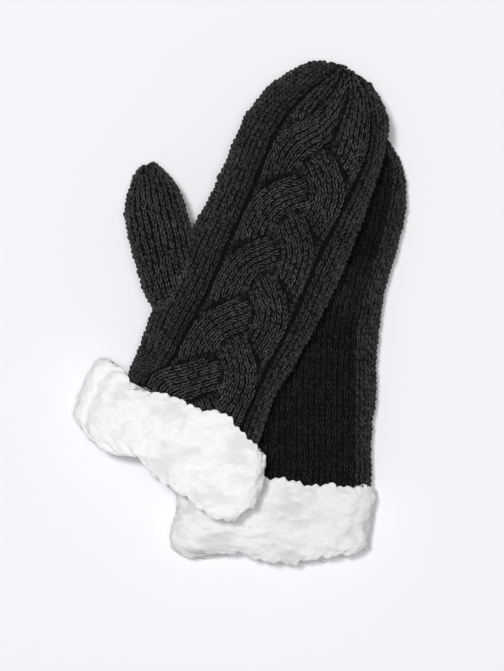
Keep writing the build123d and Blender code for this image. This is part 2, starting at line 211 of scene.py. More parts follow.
WIDTH_ROWS = [(0, 0.17), (2.5, 0.363), (7.5, 0.524), (15.5, 0.684), (25.5, 0.812),
              (35.5, 0.876), (50.5, 0.94), (75.5, 0.957), (100.5, 0.974), (125.5, 1.0),
              (150.5, 1.0), (175.5, 0.983), (200.5, 0.93), (225.5, 0.951), (272.5, 0.983)]
DEPTH_ROWS = [(0, 0.23), (3.5, 0.38), (10.5, 0.56), (20.5, 0.72), (35.5, 0.87), (55.5, 1.0)]
THUMB_ROWS = [(-36, 11.0, 4.0, 0.75), (-18, 17.0, 0.0, 0.9), (8, 19.0, -1.6, 1.0),
              (22, 19.4, -2.05, 1.0), (35, 18.55, -2.55, 1.0), (45, 16.2, -2.15, 0.95),
              (52, 13.2, -1.9, 0.86), (58, 9.4, -2.1, 0.72), (62, 5.6, -1.8, 0.52),
              (64.2, 2.6, -1.5, 0.34)]
# Places across the cuff, and how far its lower edge and its top edge are shifted there
RIGHT_CUFF_LOW = [(-64, 17), (-59, 9), (-54, 5), (-44, 4.5), (-26, 8), (-7, 3.6), (12, 0),
                  (30, -2.6), (48, 0), (55, 5), (60, 18)]
RIGHT_CUFF_TOP = [(-64, -5), (-56, 0.5), (-50, 0.5), (-42, -7), (-36, -6.5), (-25, -2),
                  (-15, -0.4), (8, 1), (21, 4), (34, 1), (47, -3.5), (60, -8)]
LEFT_CUFF_LOW = [(-67, 6), (-58, 0), (-44, 3.5), (-32, 4), (-14, 0.7), (2, -0.5), (16, -0.8),
                 (31, 3), (46, 7), (55, 7.5), (60, 7.5)]
LEFT_CUFF_TOP = [(-67, -2), (-50, 1), (-9, 0), (16, -2), (43, -2.8), (52, -2.2), (60, -3)]
# Closed profile of a cuff: place along, share of the way from the knit to its outer face,
# and how freely the pile stands
CUFF_PROFILE = [(-36, 0.02, 0.2), (-43, 0.10, 0.5), (-46.3, 0.35, 0.9), (-46.2, 0.65, 1.0),
                (-43, 0.9, 1.0), (-36, 1.0, 1.0), (-24, 1.02, 1.0), (-13, 1.0, 1.0),
                (-5, 0.97, 1.0), (0.5, 0.9, 1.0), (3.6, 0.76, 1.0), (3.8, 0.62, 0.6),
                (0.6, 0.55, 0.1), (-2.5, 0.3, 0.0), (-5, 0.03, 0.0), (-20, 0.01, 0.0)]
CORE_ROWS = [(0, 16.0), (54.0, 13.0), (170.5, 13.0), (225.5, 9.1)]

# Camera
VIEW_TURN = math.radians(7.0)
VIEW_HEIGHT = 0.4026      # height of the view at the pair's mid-height
VIEW_LEVEL = 0.03
VIEW_DISTANCE = 2.0
SENSOR = 36.0


class Track:
    """A size that changes along the mitten, read smoothly between its rows."""

    def __init__(self, rows, column=1):
        self.at = np.array([row[0] for row in rows], float)
        self.value = np.array([row[column] for row in rows], float)
        last = len(rows) - 1
        self.slope = np.zeros(len(rows))
        for i in range(len(rows)):
            low, high = max(i - 1, 0), min(i + 1, last)
            turns = (self.value[i] - self.value[low]) * (self.value[high] - self.value[i])
            if i in (0, last) or turns > 0:
                self.slope[i] = ((self.value[high] - self.value[low])
                                 / (self.at[high] - self.at[low]))

    def __call__(self, place):
        place = np.clip(np.asarray(place, float), self.at[0], self.at[-1])
        i = np.clip(np.searchsorted(self.at, place) - 1, 0, len(self.at) - 2)
        span = self.at[i + 1] - self.at[i]
        t = (place - self.at[i]) / span
        rise = self.value[i + 1] - self.value[i]
        low = self.slope[i] * span - rise
        high = rise - self.slope[i + 1] * span
        return self.value[i] + rise * t + t * (1 - t) * (low * (1 - t) + high * t)


WIDTH = Track(WIDTH_ROWS)
DEPTH = Track(DEPTH_ROWS)
CORE = Track(CORE_ROWS)
THUMB_WIDTH = Track(THUMB_ROWS, 1)
THUMB_MIDDLE = Track(THUMB_ROWS, 2)
THUMB_DEPTH = Track(THUMB_ROWS, 3)

# Grooves on the back beside the cable: place along, place across
LEFT_GROOVE = Track([(0, -33), (7, -31.5), (18, -24), (47, -20), (74, -17), (102, -16.6),
                     (135, -15), (160, -15), (187, -11.7), (205, -4), (222, 6.2), (225.5, 8)])
RIGHT_GROOVE = Track([(0, 31), (20, 31.5), (43, 33), (72, 36), (114, 37), (145, 40),
                      (174, 42), (197, 37.7), (211, 31), (219.5, 22), (225.5, 14)])


def half_width(y):
    return HALF_WIDTH * WIDTH(HAND_LENGTH - np.asarray(y, float))


def half_depth(y):
    return HALF_THICKNESS * DEPTH(HAND_LENGTH - np.asarray(y, float))


def unit(vectors):
    return vectors / np.maximum(np.linalg.norm(vectors, axis=-1, keepdims=True), 1e-9)


class Mitten:
    """How one mitten lies in the frame."""

    def __init__(self, name, side, middle, lift, tilt, slant, turn, droop, cable, cuff):
        self.name = name
        self.side = side                  # +1 back up, -1 palm up
        self.middle_track = Track(middle)
        self.lift = Track(lift)
        self.tilt = Track(tilt)
        self.slant = slant
        self.turn = math.radians(turn)
        self.droop = droop
        self.cable_rise, self.cable_crown = cable
        self.cuff_middle, self.cuff_reach, self.cuff_crease, low, top = cuff
        self.cuff_low, self.cuff_top = Track(low), Track(top)
        self.hand = name + "_hand"
        self.cap = name + "_flip_cap"
        self.thumb = name + "_thumb"
        joint = next(j for j in frame["joints"] if j["name"] == name + "_cap_flip")
        self.origin = np.zeros(3)
        self.fold = np.array(joint["pos_m"]) / MM
        self.origin = self.fold - self.lay(self.middle(FOLD_Y), FOLD_Y, HALF_THICKNESS)

    def middle(self, y):
        return self.middle_track(HAND_LENGTH - np.asarray(y, float))

    def middle_height(self, x, y):
        return CORE(y) + self.lift(y) + self.tilt(y) * (x - self.middle(y))

    def flat(self, x, y, z):
        along, across = math.cos(self.turn), math.sin(self.turn)
        x, y, z = np.broadcast_arrays(x, y, z)
        return np.stack([x * along + y * across, y * along - x * across, z], -1) + self.origin

    def lay(self, x, y, zeta):
        """Place in the frame of a point given across, along and through the mitten."""
        x, y, zeta = np.broadcast_arrays(*(np.asarray(v, float) for v in (x, y, zeta)))
        fade = np.clip(1 - y / 60, 0, 1)
        z = self.middle_height(x, y) + self.side * zeta
        return self.flat(x, y + self.slant * fade * x, z)

    def thumb_place(self, along, across, zeta):
        """Place of a point on the thumb, and where it is in the hand's flat frame."""
        root_x = self.middle(HEM_LOW) - half_width(HEM_LOW) - THUMB_CLEAR
        x = root_x - along * math.sin(THUMB_ANGLE) + across * math.cos(THUMB_ANGLE)
        y = THUMB_ROOT_Y + along * math.cos(THUMB_ANGLE) + across * math.sin(THUMB_ANGLE)
        level = self.middle_height(root_x, THUMB_ROOT_Y)
        ahead = (self.middle_height(root_x, THUMB_ROOT_Y + 10) - level) / 10
        beside = (self.middle_height(root_x + 10, THUMB_ROOT_Y) - level) / 10
        z = level + beside * (x - root_x) + ahead * (y - THUMB_ROOT_Y)
        bend = np.clip(along, 0, THUMB_START)
        bent = bend * bend / (2 * THUMB_START) + np.maximum(along - THUMB_START, 0)
        z = z - self.droop * bent + self.side * zeta
        inside = np.stack([x, y, (z - self.middle_height(x, y)) * self.side], -1)
        return self.flat(x, y, z), inside


LEFT = Mitten(
    "left", -1,
    middle=[(0, 4), (35.5, 4.5), (55.5, 3.5), (75.5, 1), (100.5, -4), (125.5, -6),
            (175.5, -2), (225.5, 3), (272.5, 3)],
    lift=[(0, 0), (1, 0)], tilt=[(0, 0), (1, 0)], slant=0.08, turn=0, droop=0.03,
    cable=(0.0, 1.6), cuff=(-7, (1.1, 0.93), -80, LEFT_CUFF_LOW, LEFT_CUFF_TOP))
RIGHT = Mitten(
    "right", 1,
    middle=[(0, 8), (7.5, 9.5), (15.5, 10.5), (35.5, 8.9), (50.5, 8), (75.5, 8.4),
            (100.5, 8.2), (125.5, 6.3), (150.5, 3.8), (175.5, 1), (200.5, -0.5), (225.5, 0)],
    lift=[(-50, 22.5), (0, 21.5), (50, SEAT + 0.2), (100, SEAT + HEM_WALL + 2.4),
          (150, SEAT + HEM_WALL + 2.6), (200, SEAT + 1)],
    tilt=[(-50, 0.294), (0, 0.25), (32, 0.07), (100, 0.05), (150, 0.03), (200, 0)],
    slant=-0.1, turn=14.5, droop=0.42, cable=(CABLE_RISE, CABLE_CROWN),
    cuff=(-4, (1.07, 1.0), -50, RIGHT_CUFF_LOW, RIGHT_CUFF_TOP))


# ------------------------------------------------------------------ outlines
def curve_run(points, steps, last=False):
    """Points on a line (two ends) or a Bezier run (four), for arrays of ends."""
    t = np.linspace(0, 1, steps + 1)[:, None]
    p = [point[..., None, :] for point in points]
    if len(p) == 2:
        run = p[0] * (1 - t) + p[1] * t
    else:
        run = (p[0] * (1 - t) ** 3 + 3 * p[1] * t * (1 - t) ** 2
               + 3 * p[2] * t * t * (1 - t) + p[3] * t ** 3)
    return run if last else run[..., :-1, :]


def rolled(width, depth, palm_flat, back_flat, steps=ROUND_STEPS):
    """Outline from the palm seam at -x over the back to the one at +x, for arrays of
    sizes: [station, point, (x, zeta)]."""
    width, depth, palm_flat, back_flat = np.broadcast_arrays(width, depth, palm_flat, back_flat)
    palm_pull = palm_flat + ROUND_PULL * (width - palm_flat)
    back_pull = back_flat + ROUND_PULL * (width - back_flat)

    def pair(x, z):
        return np.stack(np.broadcast_arrays(x, z), -1)
    low = [pair(-palm_flat, -depth), pair(-palm_pull, -depth),
           pair(-width, -ROUND_PULL * depth), pair(-width, 0 * depth)]
    high = [pair(-width, 0 * depth), pair(-width, ROUND_PULL * depth),
            pair(-back_pull, depth), pair(-back_flat, depth)]
    left = np.concatenate([curve_run(low, steps), curve_run(high, steps)], -2)
    top = curve_run([pair(-back_flat, depth), pair(back_flat, depth)], steps, last=True)
    right = left[..., ::-1, :] * np.array([-1, 1])
    return np.concatenate([left, top, right], -2)


def hand_flats(y):
    """Half-widths of the flat palm and the flat back."""
    gather = GATHERED * np.clip((y - CROWN_Y) / 7.5, 0, 1)
    room = np.maximum(half_width(y) - gather - 1.0, 0.3 * half_width(y))
    return np.minimum(PALM_FLAT, 0.86 * room), np.minimum(BACK_FLAT, 0.6 * room)


def smooth_step(value):
    value = np.clip(value, 0, 1)
    return value * value * (3 - 2 * value)


def lengths_along(places, axis):
    """Length from the first place to each of the others, along an axis."""
    steps = np.linalg.norm(np.diff(places, axis=axis), axis=-1)
    start = np.zeros_like(np.take(steps, [0], axis))
    return np.concatenate([start, np.cumsum(steps, axis)], axis)


def resample(outline, places):
    """Points at given lengths round each outline: [station, place, (x, zeta)]."""
    length = lengths_along(outline, 1)
    result = np.zeros(places.shape + (2,))
    for i in range(len(outline)):
        for k in (0, 1):
            result[i, :, k] = np.interp(places[i], length[i], outline[i, :, k])
    return result


def girth_of(outline):
    return np.linalg.norm(np.diff(outline, axis=1), axis=2).sum(1)


def wrapped(grid):
    """Grid with its first column once more after the last one."""
    return np.concatenate([grid, grid[:, :1]], 1)


def sleeve(outline, columns, shift=0.0):
    """Places across and through at even steps all the way round each outline."""
    outline = wrapped(outline)
    places = girth_of(outline)[:, None] * ((np.arange(columns) + shift) / columns)
    flat = resample(outline, places)
    return flat[..., 0], flat[..., 1]


def middles(count):
    """Middles of columns that lie side by side, in shares from -1 to 1."""
    return (np.arange(count) + 0.5) / count * 2 - 1


def spread(start, end, shares):
    """Places at the same shares of the way from start to end, for each station."""
    return start[:, None] + (end - start)[:, None] * shares


def grid_normals(grid, outward, wrap=False):
    """Normals of a grid of places, whose rows run along; outward is +1 or -1."""
    along = np.gradient(grid, axis=0)
    if wrap:
        across = np.roll(grid, -1, axis=1) - np.roll(grid, 1, axis=1)
    else:
        across = np.gradient(grid, axis=1)
    return unit(np.cross(across, along)) * outward


def stations():
    """Places along the mitten, close together, with one at every cut in the knit."""
    runs = [(0, HEM_LOW, 70), (HEM_LOW, FOLD_Y, 4), (FOLD_Y + FOLD_GAP, FOLD_Y + FOLD_STRIP, 9),
            (FOLD_Y + FOLD_STRIP, HEM_TOP, 10), (HEM_TOP, CROWN_Y, 48),
            (CROWN_Y, HAND_LENGTH - 0.6, 20)]
    return np.unique(np.concatenate([np.linspace(*run) for run in runs]).round(4))


class Skin:
    """Outer face of one mitten's hand and cap."""

    def __init__(self, mitten):
        self.mitten = mitten
        self.y = stations()
        self.width = half_width(self.y)
        self.depth = half_depth(self.y)
        self.palm_flat, self.back_flat = hand_flats(self.y)
        self.outline = rolled(self.width, self.depth, self.palm_flat, self.back_flat)
        self.girth = girth_of(self.outline)
        self.centre = mitten.middle(self.y)
        self.grooves = [self.round_at(groove(self.y)) for groove in (LEFT_GROOVE, RIGHT_GROOVE)]

    def round_at(self, x):
        """Length round the outline at which the back is x across, for each station."""
        length = lengths_along(self.outline, 1)
        quarter = len(self.outline[0]) // 4
        inner = slice(quarter, -quarter)
        return np.array([np.interp(x[i] - self.centre[i], self.outline[i, inner, 0],
                                   length[i, inner]) for i in range(len(self.y))])

    def back(self, places):
        """World places and normals at lengths round the outline."""
        def world(at):
            flat = resample(self.outline, at)
            return self.mitten.lay(flat[..., 0] + self.centre[:, None],
                                   self.y[:, None] + 0 * at, flat[..., 1])
        here = world(places)
        across = world(places + 0.5) - world(places - 0.5)
        along = np.gradient(here, axis=0)
        return here, unit(np.cross(across, along)) * self.mitten.side

    def palm(self, shares, stand=0.0):
        """World places and normals on the palm, given as shares of its half-width."""
        x = shares[None, :] * self.palm_flat[:, None]
        z = -(self.depth + stand)[:, None] + 0 * x
        here = self.mitten.lay(x + self.centre[:, None], self.y[:, None] + 0 * x, z)
        return here, grid_normals(here, -self.mitten.side)

    def cut(self, low, high):
        """Rows between two places along."""
        rows = np.nonzero((self.y >= low - 1e-6) & (self.y <= high + 1e-6))[0]
        return slice(rows[0], rows[-1] + 1)


# ------------------------------------------------------------------ meshes
def quad_part(verts, quads, shade=0.0, outward=1):
    """Part made of four-cornered faces, turned over where outward is -1.  shade is painted shade:
    0 deep in the knit and 1 on its face."""
    quads = np.asarray(quads)
    if outward < 0:
        quads = quads[:, ::-1]
    return np.asarray(verts), quads.ravel(), np.arange(0, 4 * len(quads), 4), shade


def make_object(name, parts, material):
    """One mesh object from (places in mm, corners, first corners, shade) parts."""
    verts = np.concatenate([part[0] for part in parts]) * MM
    shift, corner, loops, starts, shades = 0, 0, [], [], []
    for part_verts, part_loops, part_starts, shade in parts:
        loops.append(part_loops + shift)
        starts.append(part_starts + corner)
        shades.append(np.broadcast_to(shade, len(part_verts)))
        shift += len(part_verts)
        corner += len(part_loops)
    loops, starts = np.concatenate(loops), np.concatenate(starts)
    mesh = bpy.data.meshes.new(name)
    mesh.vertices.add(len(verts))
    mesh.vertices.foreach_set("co", verts.astype(np.float32).ravel())
    mesh.loops.add(len(loops))
    mesh.loops.foreach_set("vertex_index", loops.astype(np.int32))
    mesh.polygons.add(len(starts))
    mesh.polygons.foreach_set("loop_start", starts.astype(np.int32))
    mesh.polygons.foreach_set("use_smooth", np.ones(len(starts), bool))
    mesh.update(calc_edges=True)
    mesh.materials.append(material)
    layer = mesh.attributes.new("shade", "FLOAT", "POINT")
    layer.data.foreach_set("value", np.concatenate(shades).astype(np.float32))
    thing = bpy.data.objects.new(name, mesh)
    bpy.context.scene.collection.objects.link(thing)
    return thing


def mesh_part(mesh):
    """The (places, corners, first corners, shade) of a mesh, as a part."""
    verts = np.zeros(len(mesh.vertices) * 3, np.float32)
    mesh.vertices.foreach_get("co", verts)
    loops = np.zeros(len(mesh.loops), np.int32)
    mesh.loops.foreach_get("vertex_index", loops)
    starts = np.zeros(len(mesh.polygons), np.int32)
    mesh.polygons.foreach_get("loop_start", starts)
    shade = np.zeros(len(mesh.vertices), np.float32)
    mesh.attributes["shade"].data.foreach_get("value", shade)
    return verts.reshape(-1, 3).astype(float), loops, starts, shade


def grid_quads(rows, columns, wrap_rows=False, wrap_columns=False):
    down = rows if wrap_rows else rows - 1
    across = columns if wrap_columns else columns - 1
    i, j = np.meshgrid(np.arange(down), np.arange(across), indexing="ij")
    i, j = i.ravel(), j.ravel()
    i2, j2 = (i + 1) % rows, (j + 1) % columns
    return np.stack([i * columns + j, i * columns + j2, i2 * columns + j2, i2 * columns + j], 1)


def slab(outer, normals, depth, wall, outward, wrap=False, shade=INSIDE_SHADE):
    """Closed layer below a grid of places, from depth to depth + wall."""
    rows, columns = outer.shape[:2]
    depth = np.broadcast_to(depth, (rows, columns))[..., None]
    top = outer - normals * depth
    low = outer - normals * (depth + wall)
    count = rows * columns
    verts = np.concatenate([top.reshape(-1, 3), low.reshape(-1, 3)])
    face = grid_quads(rows, columns, wrap_columns=wrap)
    index = np.arange(count).reshape(rows, columns)

    def rim(line):
        return np.stack([line[:-1], line[:-1] + count, line[1:] + count, line[1:]], 1)
    first, last = index[0], index[-1]
    if wrap:
        first, last = np.append(first, first[0]), np.append(last, last[0])
    quads = [face, face[:, ::-1] + count, rim(first), rim(last)[:, ::-1]]
    if not wrap:
        quads += [rim(index[:, 0])[:, ::-1], rim(index[:, -1])]
    shades = np.tile(np.broadcast_to(shade, (rows, columns)).ravel(), 2)
    return quad_part(verts, np.concatenate(quads), shades, outward)


def rim_quads(columns, shift):
    """Faces between the first ring of a sleeve and that of the sleeve inside it."""
    j = np.arange(columns)
    j2 = (j + 1) % columns
    return np.stack([j, j + shift, j2 + shift, j2], 1)


def closed_tube(outer, inner, outward, shade=0.0):
    """Closed shell between an outer and an inner sleeve that are both closed at the end:
    grids whose rows run along and whose columns wrap round."""
    rows, columns = outer.shape[:2]
    count = rows * columns
    verts = np.concatenate([outer.reshape(-1, 3), inner.reshape(-1, 3),
                            [outer[-1].mean(0), inner[-1].mean(0)]])
    face = grid_quads(rows, columns, wrap_columns=True)
    low = rim_quads(columns, count)
    j, j2 = (low[:, k] + (rows - 1) * columns for k in (0, 3))
    fan_out = np.stack([j, j2, np.full(columns, 2 * count)], 1)
    fan_in = np.stack([j2 + count, j + count, np.full(columns, 2 * count + 1)], 1)
    faces = (face, face[:, ::-1] + count, low, fan_out, fan_in)
    loops = np.concatenate([corners.ravel() for corners in faces])
    first = 4 * (2 * len(face) + columns)
    starts = np.concatenate([np.arange(0, first, 4), np.arange(first, len(loops), 3)])
    if outward < 0:
        ends = np.append(starts[1:], len(loops))
        loops = np.concatenate([loops[a:b][::-1] for a, b in zip(starts, ends)])
    return verts, loops, starts, shade


def open_tube(outer, inner, outward, shade=0.0):
    """Closed shell between two sleeves open at both ends."""
    rows, columns = outer.shape[:2]
    count = rows * columns
    verts = np.concatenate([outer.reshape(-1, 3), inner.reshape(-1, 3)])
    face = grid_quads(rows, columns, wrap_columns=True)
    low = rim_quads(columns, count)
    high = low[:, ::-1] + (rows - 1) * columns
    quads = np.concatenate([face, face[:, ::-1] + count, low, high])
    return quad_part(verts, quads, shade, outward)


# ------------------------------------------------------------------ node helpers
class Nodes:
    """Short way to add and wire nodes of one tree."""

    def __init__(self, tree):
        self.tree = tree

    def add(self, kind, inputs=None, **settings):
        node = self.tree.nodes.new(kind)
        for key, value in settings.items():
            setattr(node, key, value)
        for key, value in (inputs or {}).items():
            self.set(node.inputs[key], value)
        return node

    def set(self, target, value):
        if isinstance(value, bpy.types.Node):
            value = next(output for output in value.outputs if output.enabled)
        if isinstance(value, bpy.types.NodeSocket):
            self.tree.links.new(value, target)
        else:
            target.default_value = value

    def math(self, operation, *values):
        node = self.add("ShaderNodeMath", operation=operation)
        for target, value in zip(node.inputs, values):
            self.set(target, value)
        return node.outputs[0]

    def vector(self, operation, inputs):
        return self.add("ShaderNodeVectorMath", inputs, operation=operation)


def geometry_tree(name, sizes, seed):
    """Geometry tree with named sizes and a seed, and its group input and output."""
    tree = bpy.data.node_groups.new(name, "GeometryNodeTree")
    tree.interface.new_socket("Geometry", in_out="INPUT", socket_type="NodeSocketGeometry")
    for key, value in sizes.items():
        item = tree.interface.new_socket(key, in_out="INPUT", socket_type="NodeSocketFloat")
        item.default_value = value
    item = tree.interface.new_socket("Seed", in_out="INPUT", socket_type="NodeSocketInt")
    item.default_value = seed
    tree.interface.new_socket("Geometry", in_out="OUTPUT", socket_type="NodeSocketGeometry")
    nodes = Nodes(tree)
    return tree, nodes, nodes.add("NodeGroupInput"), nodes.add("NodeGroupOutput")


def run_tree(thing, tree, values):
    """Plain mesh that a tree makes of an object, with the tree's inputs set by name."""
    modifier = thing.modifiers.new(tree.name, "NODES")
    modifier.node_group = tree
    for item in tree.interface.items_tree:
        if item.in_out == "INPUT" and item.name in values:
            modifier[item.identifier] = values[item.name]
    graph = bpy.context.evaluated_depsgraph_get()
    graph.update()
    mesh = bpy.data.meshes.new_from_object(thing.evaluated_get(graph))
    thing.modifiers.remove(modifier)
    return mesh


def named(nodes, name, kind="FLOAT_VECTOR"):
    return nodes.add("GeometryNodeInputNamedAttribute", {"Name": name}, data_type=kind)


def random_vector(n, given, reach):
    """A random vector for each point, up to a reach either way."""
    return n.add("FunctionNodeRandomValue", {0: (-reach,) * 3, 1: (reach,) * 3,
                                             "Seed": given.outputs["Seed"]},
                 data_type="FLOAT_VECTOR").outputs[0]


def keep_shade(n, geometry, value):
    """Keeps the painted shade with the mesh, where its material reads it."""
    return n.add("GeometryNodeStoreNamedAttribute",
                 {"Geometry": geometry, "Name": "shade", "Value": value}, data_type="FLOAT")


def finish_tree(n, out, geometry, material):
    smooth = n.add("GeometryNodeSetShadeSmooth", {"Geometry": geometry})
    n.set(out.inputs[0], n.add("GeometryNodeSetMaterial",
                               {"Geometry": smooth, "Material": material}))


def scatter_tree(name, sizes, seed, unit_shape, material, shake, growth, slack):
    """Tree that sets a small shape on every point, turned by the point's own directions and
    left a little uneven."""
    tree, n, given, out = geometry_tree(name, sizes, seed)
    facing = n.add("FunctionNodeAxesToRotation", {"Primary Axis": named(n, "along"),
                                                  "Secondary Axis": named(n, "outward")},
                   primary_axis="Y", secondary_axis="Z")
    turn = n.add("FunctionNodeEulerToRotation", {0: random_vector(n, given, shake)})
    both = n.add("FunctionNodeRotateRotation", {0: facing, 1: turn}, rotation_space="LOCAL")
    grow = n.add("FunctionNodeRandomValue", {2: 1 - growth, 3: 1 + growth,
                                             "Seed": given.outputs["Seed"]}, data_type="FLOAT")
    scaled = n.vector("SCALE", {0: named(n, "size"), "Scale": grow.outputs[1]})
    swell = n.add("ShaderNodeTexNoise", {"Vector": n.add("GeometryNodeInputPosition"),
                                         "Scale": 0.11, "Detail": 1.0})
    lift = n.math("MULTIPLY", n.math("SUBTRACT", swell.outputs["Fac"], 0.5), 4 * slack)
    raised = n.vector("SCALE", {0: named(n, "outward"), "Scale": lift})
    loose = n.add("GeometryNodeSetPosition", {
        "Geometry": given.outputs["Geometry"],
        "Offset": n.vector("ADD", {0: raised, 1: random_vector(n, given, slack)})})
    put = n.add("GeometryNodeInstanceOnPoints", {
        "Points": loose, "Instance": unit_shape(n, given), "Rotation": both, "Scale": scaled})
    real = n.add("GeometryNodeRealizeInstances", {"Geometry": put})
    # painted shade: the stitch's own shade times the painted shade of its point
    painted_shade_total = n.math("MULTIPLY", named(n, "shade", "FLOAT"), named(n, "tone", "FLOAT"))
    finish_tree(n, out, keep_shade(n, real, painted_shade_total), material)
    return tree


def stitch_shape(n, given):
    """One knit stitch: a V of two plump legs, tucked in at both ends."""
    wale, course, yarn = (given.outputs[key] for key in ("Wale", "Course", "Yarn"))

    def place(x, y, z):
        return n.add("ShaderNodeCombineXYZ", {
            "X": n.math("MULTIPLY", wale, x), "Y": n.math("MULTIPLY", course, y), "Z": z})
    legs = n.add("GeometryNodeJoinGeometry")
    for side in (-1, 1):
        ends = {key: place(x * side, y, z) for key, (x, y, z) in LEG.items()}
        line = n.add("GeometryNodeCurvePrimitiveBezierSegment", {**ends, "Resolution": LEG_STEPS})
        along = n.add("GeometryNodeSplineParameter")
        swell = n.math("SINE", n.math("MULTIPLY", along.outputs["Factor"], math.pi))
        radius = n.math("MULTIPLY", yarn, n.math("ADD", 0.4, n.math("MULTIPLY", swell, 0.6)))
        ring = n.add("GeometryNodeCurvePrimitiveCircle", {"Resolution": LEG_SIDES, "Radius": 1.0})
        tube = n.add("GeometryNodeCurveToMesh", {"Curve": line, "Profile Curve": ring,
                                                 "Scale": radius, "Fill Caps": True})
        n.tree.links.new(tube.outputs[0], legs.inputs[0])
    # painted shade: each leg darker towards its low, tucked-in ends
    height = n.add("ShaderNodeSeparateXYZ", {"Vector": n.add("GeometryNodeInputPosition")})
    face = n.add("ShaderNodeMapRange", {"Value": height.outputs["Z"], "From Min": -1.6,
                                        "From Max": 0.5})
    return keep_shade(n, legs, face)


def point_cloud(name, fields):
    """Mesh of loose points in mm that carries directions and sizes for a scatter tree."""
    mesh = bpy.data.meshes.new(name)
    mesh.vertices.add(len(fields["place"]))
    mesh.vertices.foreach_set("co", fields["place"].astype(np.float32).ravel())
    for key in ("along", "outward", "size"):
        layer = mesh.attributes.new(key, "FLOAT_VECTOR", "POINT")
        layer.data.foreach_set("vector", fields[key].astype(np.float32).ravel())
    # painted shade of each point
    layer = mesh.attributes.new("tone", "FLOAT", "POINT")
    layer.data.foreach_set("value", fields["tone"].astype(np.float32))
    thing = bpy.data.objects.new(name, mesh)
    bpy.context.scene.collection.objects.link(thing)
    return thing


def pick(fields, keep):
    return {key: value[keep] for key, value in fields.items()}


def joined(sets, keys):
    return {key: np.concatenate([s[key] for s in sets]) for key in keys}


def scatter(values, *sets):
    """Part made of knit stitches on sets of points."""
    sets = [{"tone": np.full(len(s["place"]), PLAIN_SHADE), **s} for s in sets
            if len(s["place"])]
    if not sets:
        return None
    thing = point_cloud("points", joined(sets, sets[0]))
    verts, loops, starts, shade = mesh_part(run_tree(thing, STITCHES, values))
    bpy.data.objects.remove(thing)
    verts[:, 2] = np.maximum(verts[:, 2], 0.0)
    return verts, loops, starts, shade


# ------------------------------------------------------------------ materials
def new_material(name, finish):
    """New material with the fixed values of its shader, its nodes and its coordinates."""
    material = bpy.data.materials.new(name)
    material.use_nodes = True
    material.node_tree.nodes.clear()
    n = Nodes(material.node_tree)
    shader = n.add("ShaderNodeBsdfPrincipled", finish)
    out = n.add("ShaderNodeOutputMaterial", {"Surface": shader})
    out.is_active_output = True
    where = n.add("ShaderNodeTexCoord").outputs["Object"]
    return material, n, shader, where


def noise(n, where, scale, detail=2.0, roughness=0.5):
    return n.add("ShaderNodeTexNoise", {"Vector": where, "Scale": scale, "Detail": detail,
                                        "Roughness": roughness}).outputs["Fac"]


def between_values(n, factor, low, high, from_low=0.0, from_high=1.0):
    return n.add("ShaderNodeMapRange", {"Value": factor, "From Min": from_low,
                                        "From Max": from_high, "To Min": low,
                                        "To Max": high}).outputs[0]


def mix_colours(n, factor, first, second):
    node = n.add("ShaderNodeMix", data_type="RGBA")
    n.set(node.inputs[0], factor)
    n.set(node.inputs[6], first)
    n.set(node.inputs[7], second)
    return node.outputs[2]


def bump(n, height, strength, distance):
    return n.add("ShaderNodeBump", {"Strength": strength, "Distance": distance,
                                    "Height": height}).outputs[0]


def shade_of(n):
    """Painted shade kept with the mesh, by how near a place is to the knit's or pile's face."""
    return n.add("ShaderNodeAttribute", attribute_name="shade").outputs["Fac"]


def yarn_material(name, dark, light, fleck, sheen, twist_scale=2600.0):
    """Brushed yarn: mottled dark fibres with pale flecks and a soft halo, with painted shade deep
    in the knit.
    """
    material, n, shader, where = new_material(name, {
        "Specular IOR Level": 0.04, "Sheen Weight": sheen, "Sheen Roughness": 0.45,
        "Sheen Tint": (0.75, 0.78, 0.85, 1)})
    broad = noise(n, where, 55.0, 2.0)
    fibre = noise(n, where, 1500.0, 3.0, 0.65)
    speck = noise(n, where, 3100.0, 2.0, 0.6)
    base = mix_colours(n, between_values(n, fibre, 0, 1, 0.32, 0.68), dark, light)
    flecks = mix_colours(n, between_values(n, speck, 0, 1, 0.57, 0.68), base, fleck)
    tuft = noise(n, where, 420.0, 1.0)
    patchy = mix_colours(n, between_values(n, tuft, 0, 0.85, 0.42, 0.66), flecks, dark)
    worn = mix_colours(n, between_values(n, broad, 0, 0.35, 0.35, 0.65), patchy, dark)
    # painted shade: the colour goes to the deep-shade colour where the kept shade is low
    n.set(shader.inputs["Base Color"],
          mix_colours(n, between_values(n, shade_of(n), 0.04, 1, 0.1, 0.97), PAINTED_DEEP_SHADE, worn))
    n.set(shader.inputs["Roughness"], between_values(n, fibre, 0.78, 0.95))
    twist = noise(n, where, twist_scale, 2.0, 0.6)
    n.set(shader.inputs["Normal"], bump(n, n.math("ADD", fibre, twist), 0.55, 0.0005))
    return material


def pile_material(name, light, shade, sheen):
    """Soft pile: fine curls, with painted shade darker down between them."""
    material, n, shader, where = new_material(name, {
        "Specular IOR Level": 0.2, "Sheen Weight": sheen, "Sheen Roughness": 0.6})
    curls = noise(n, where, 420.0, 3.0, 0.6)
    fine = noise(n, where, 1700.0, 2.0, 0.6)
    curled = n.math("MULTIPLY", between_values(n, curls, 0.6, 1, 0.3, 0.62),
                    between_values(n, shade_of(n), 0, 1, 0.0, 0.5))
    n.set(shader.inputs["Base Color"], mix_colours(n, curled, shade, light))
    n.set(shader.inputs["Roughness"], between_values(n, fine, 0.85, 1.0))
    n.set(shader.inputs["Normal"],
          bump(n, n.math("ADD", curls, n.math("MULTIPLY", fine, 0.5)), 0.5, 0.0008))
    return material
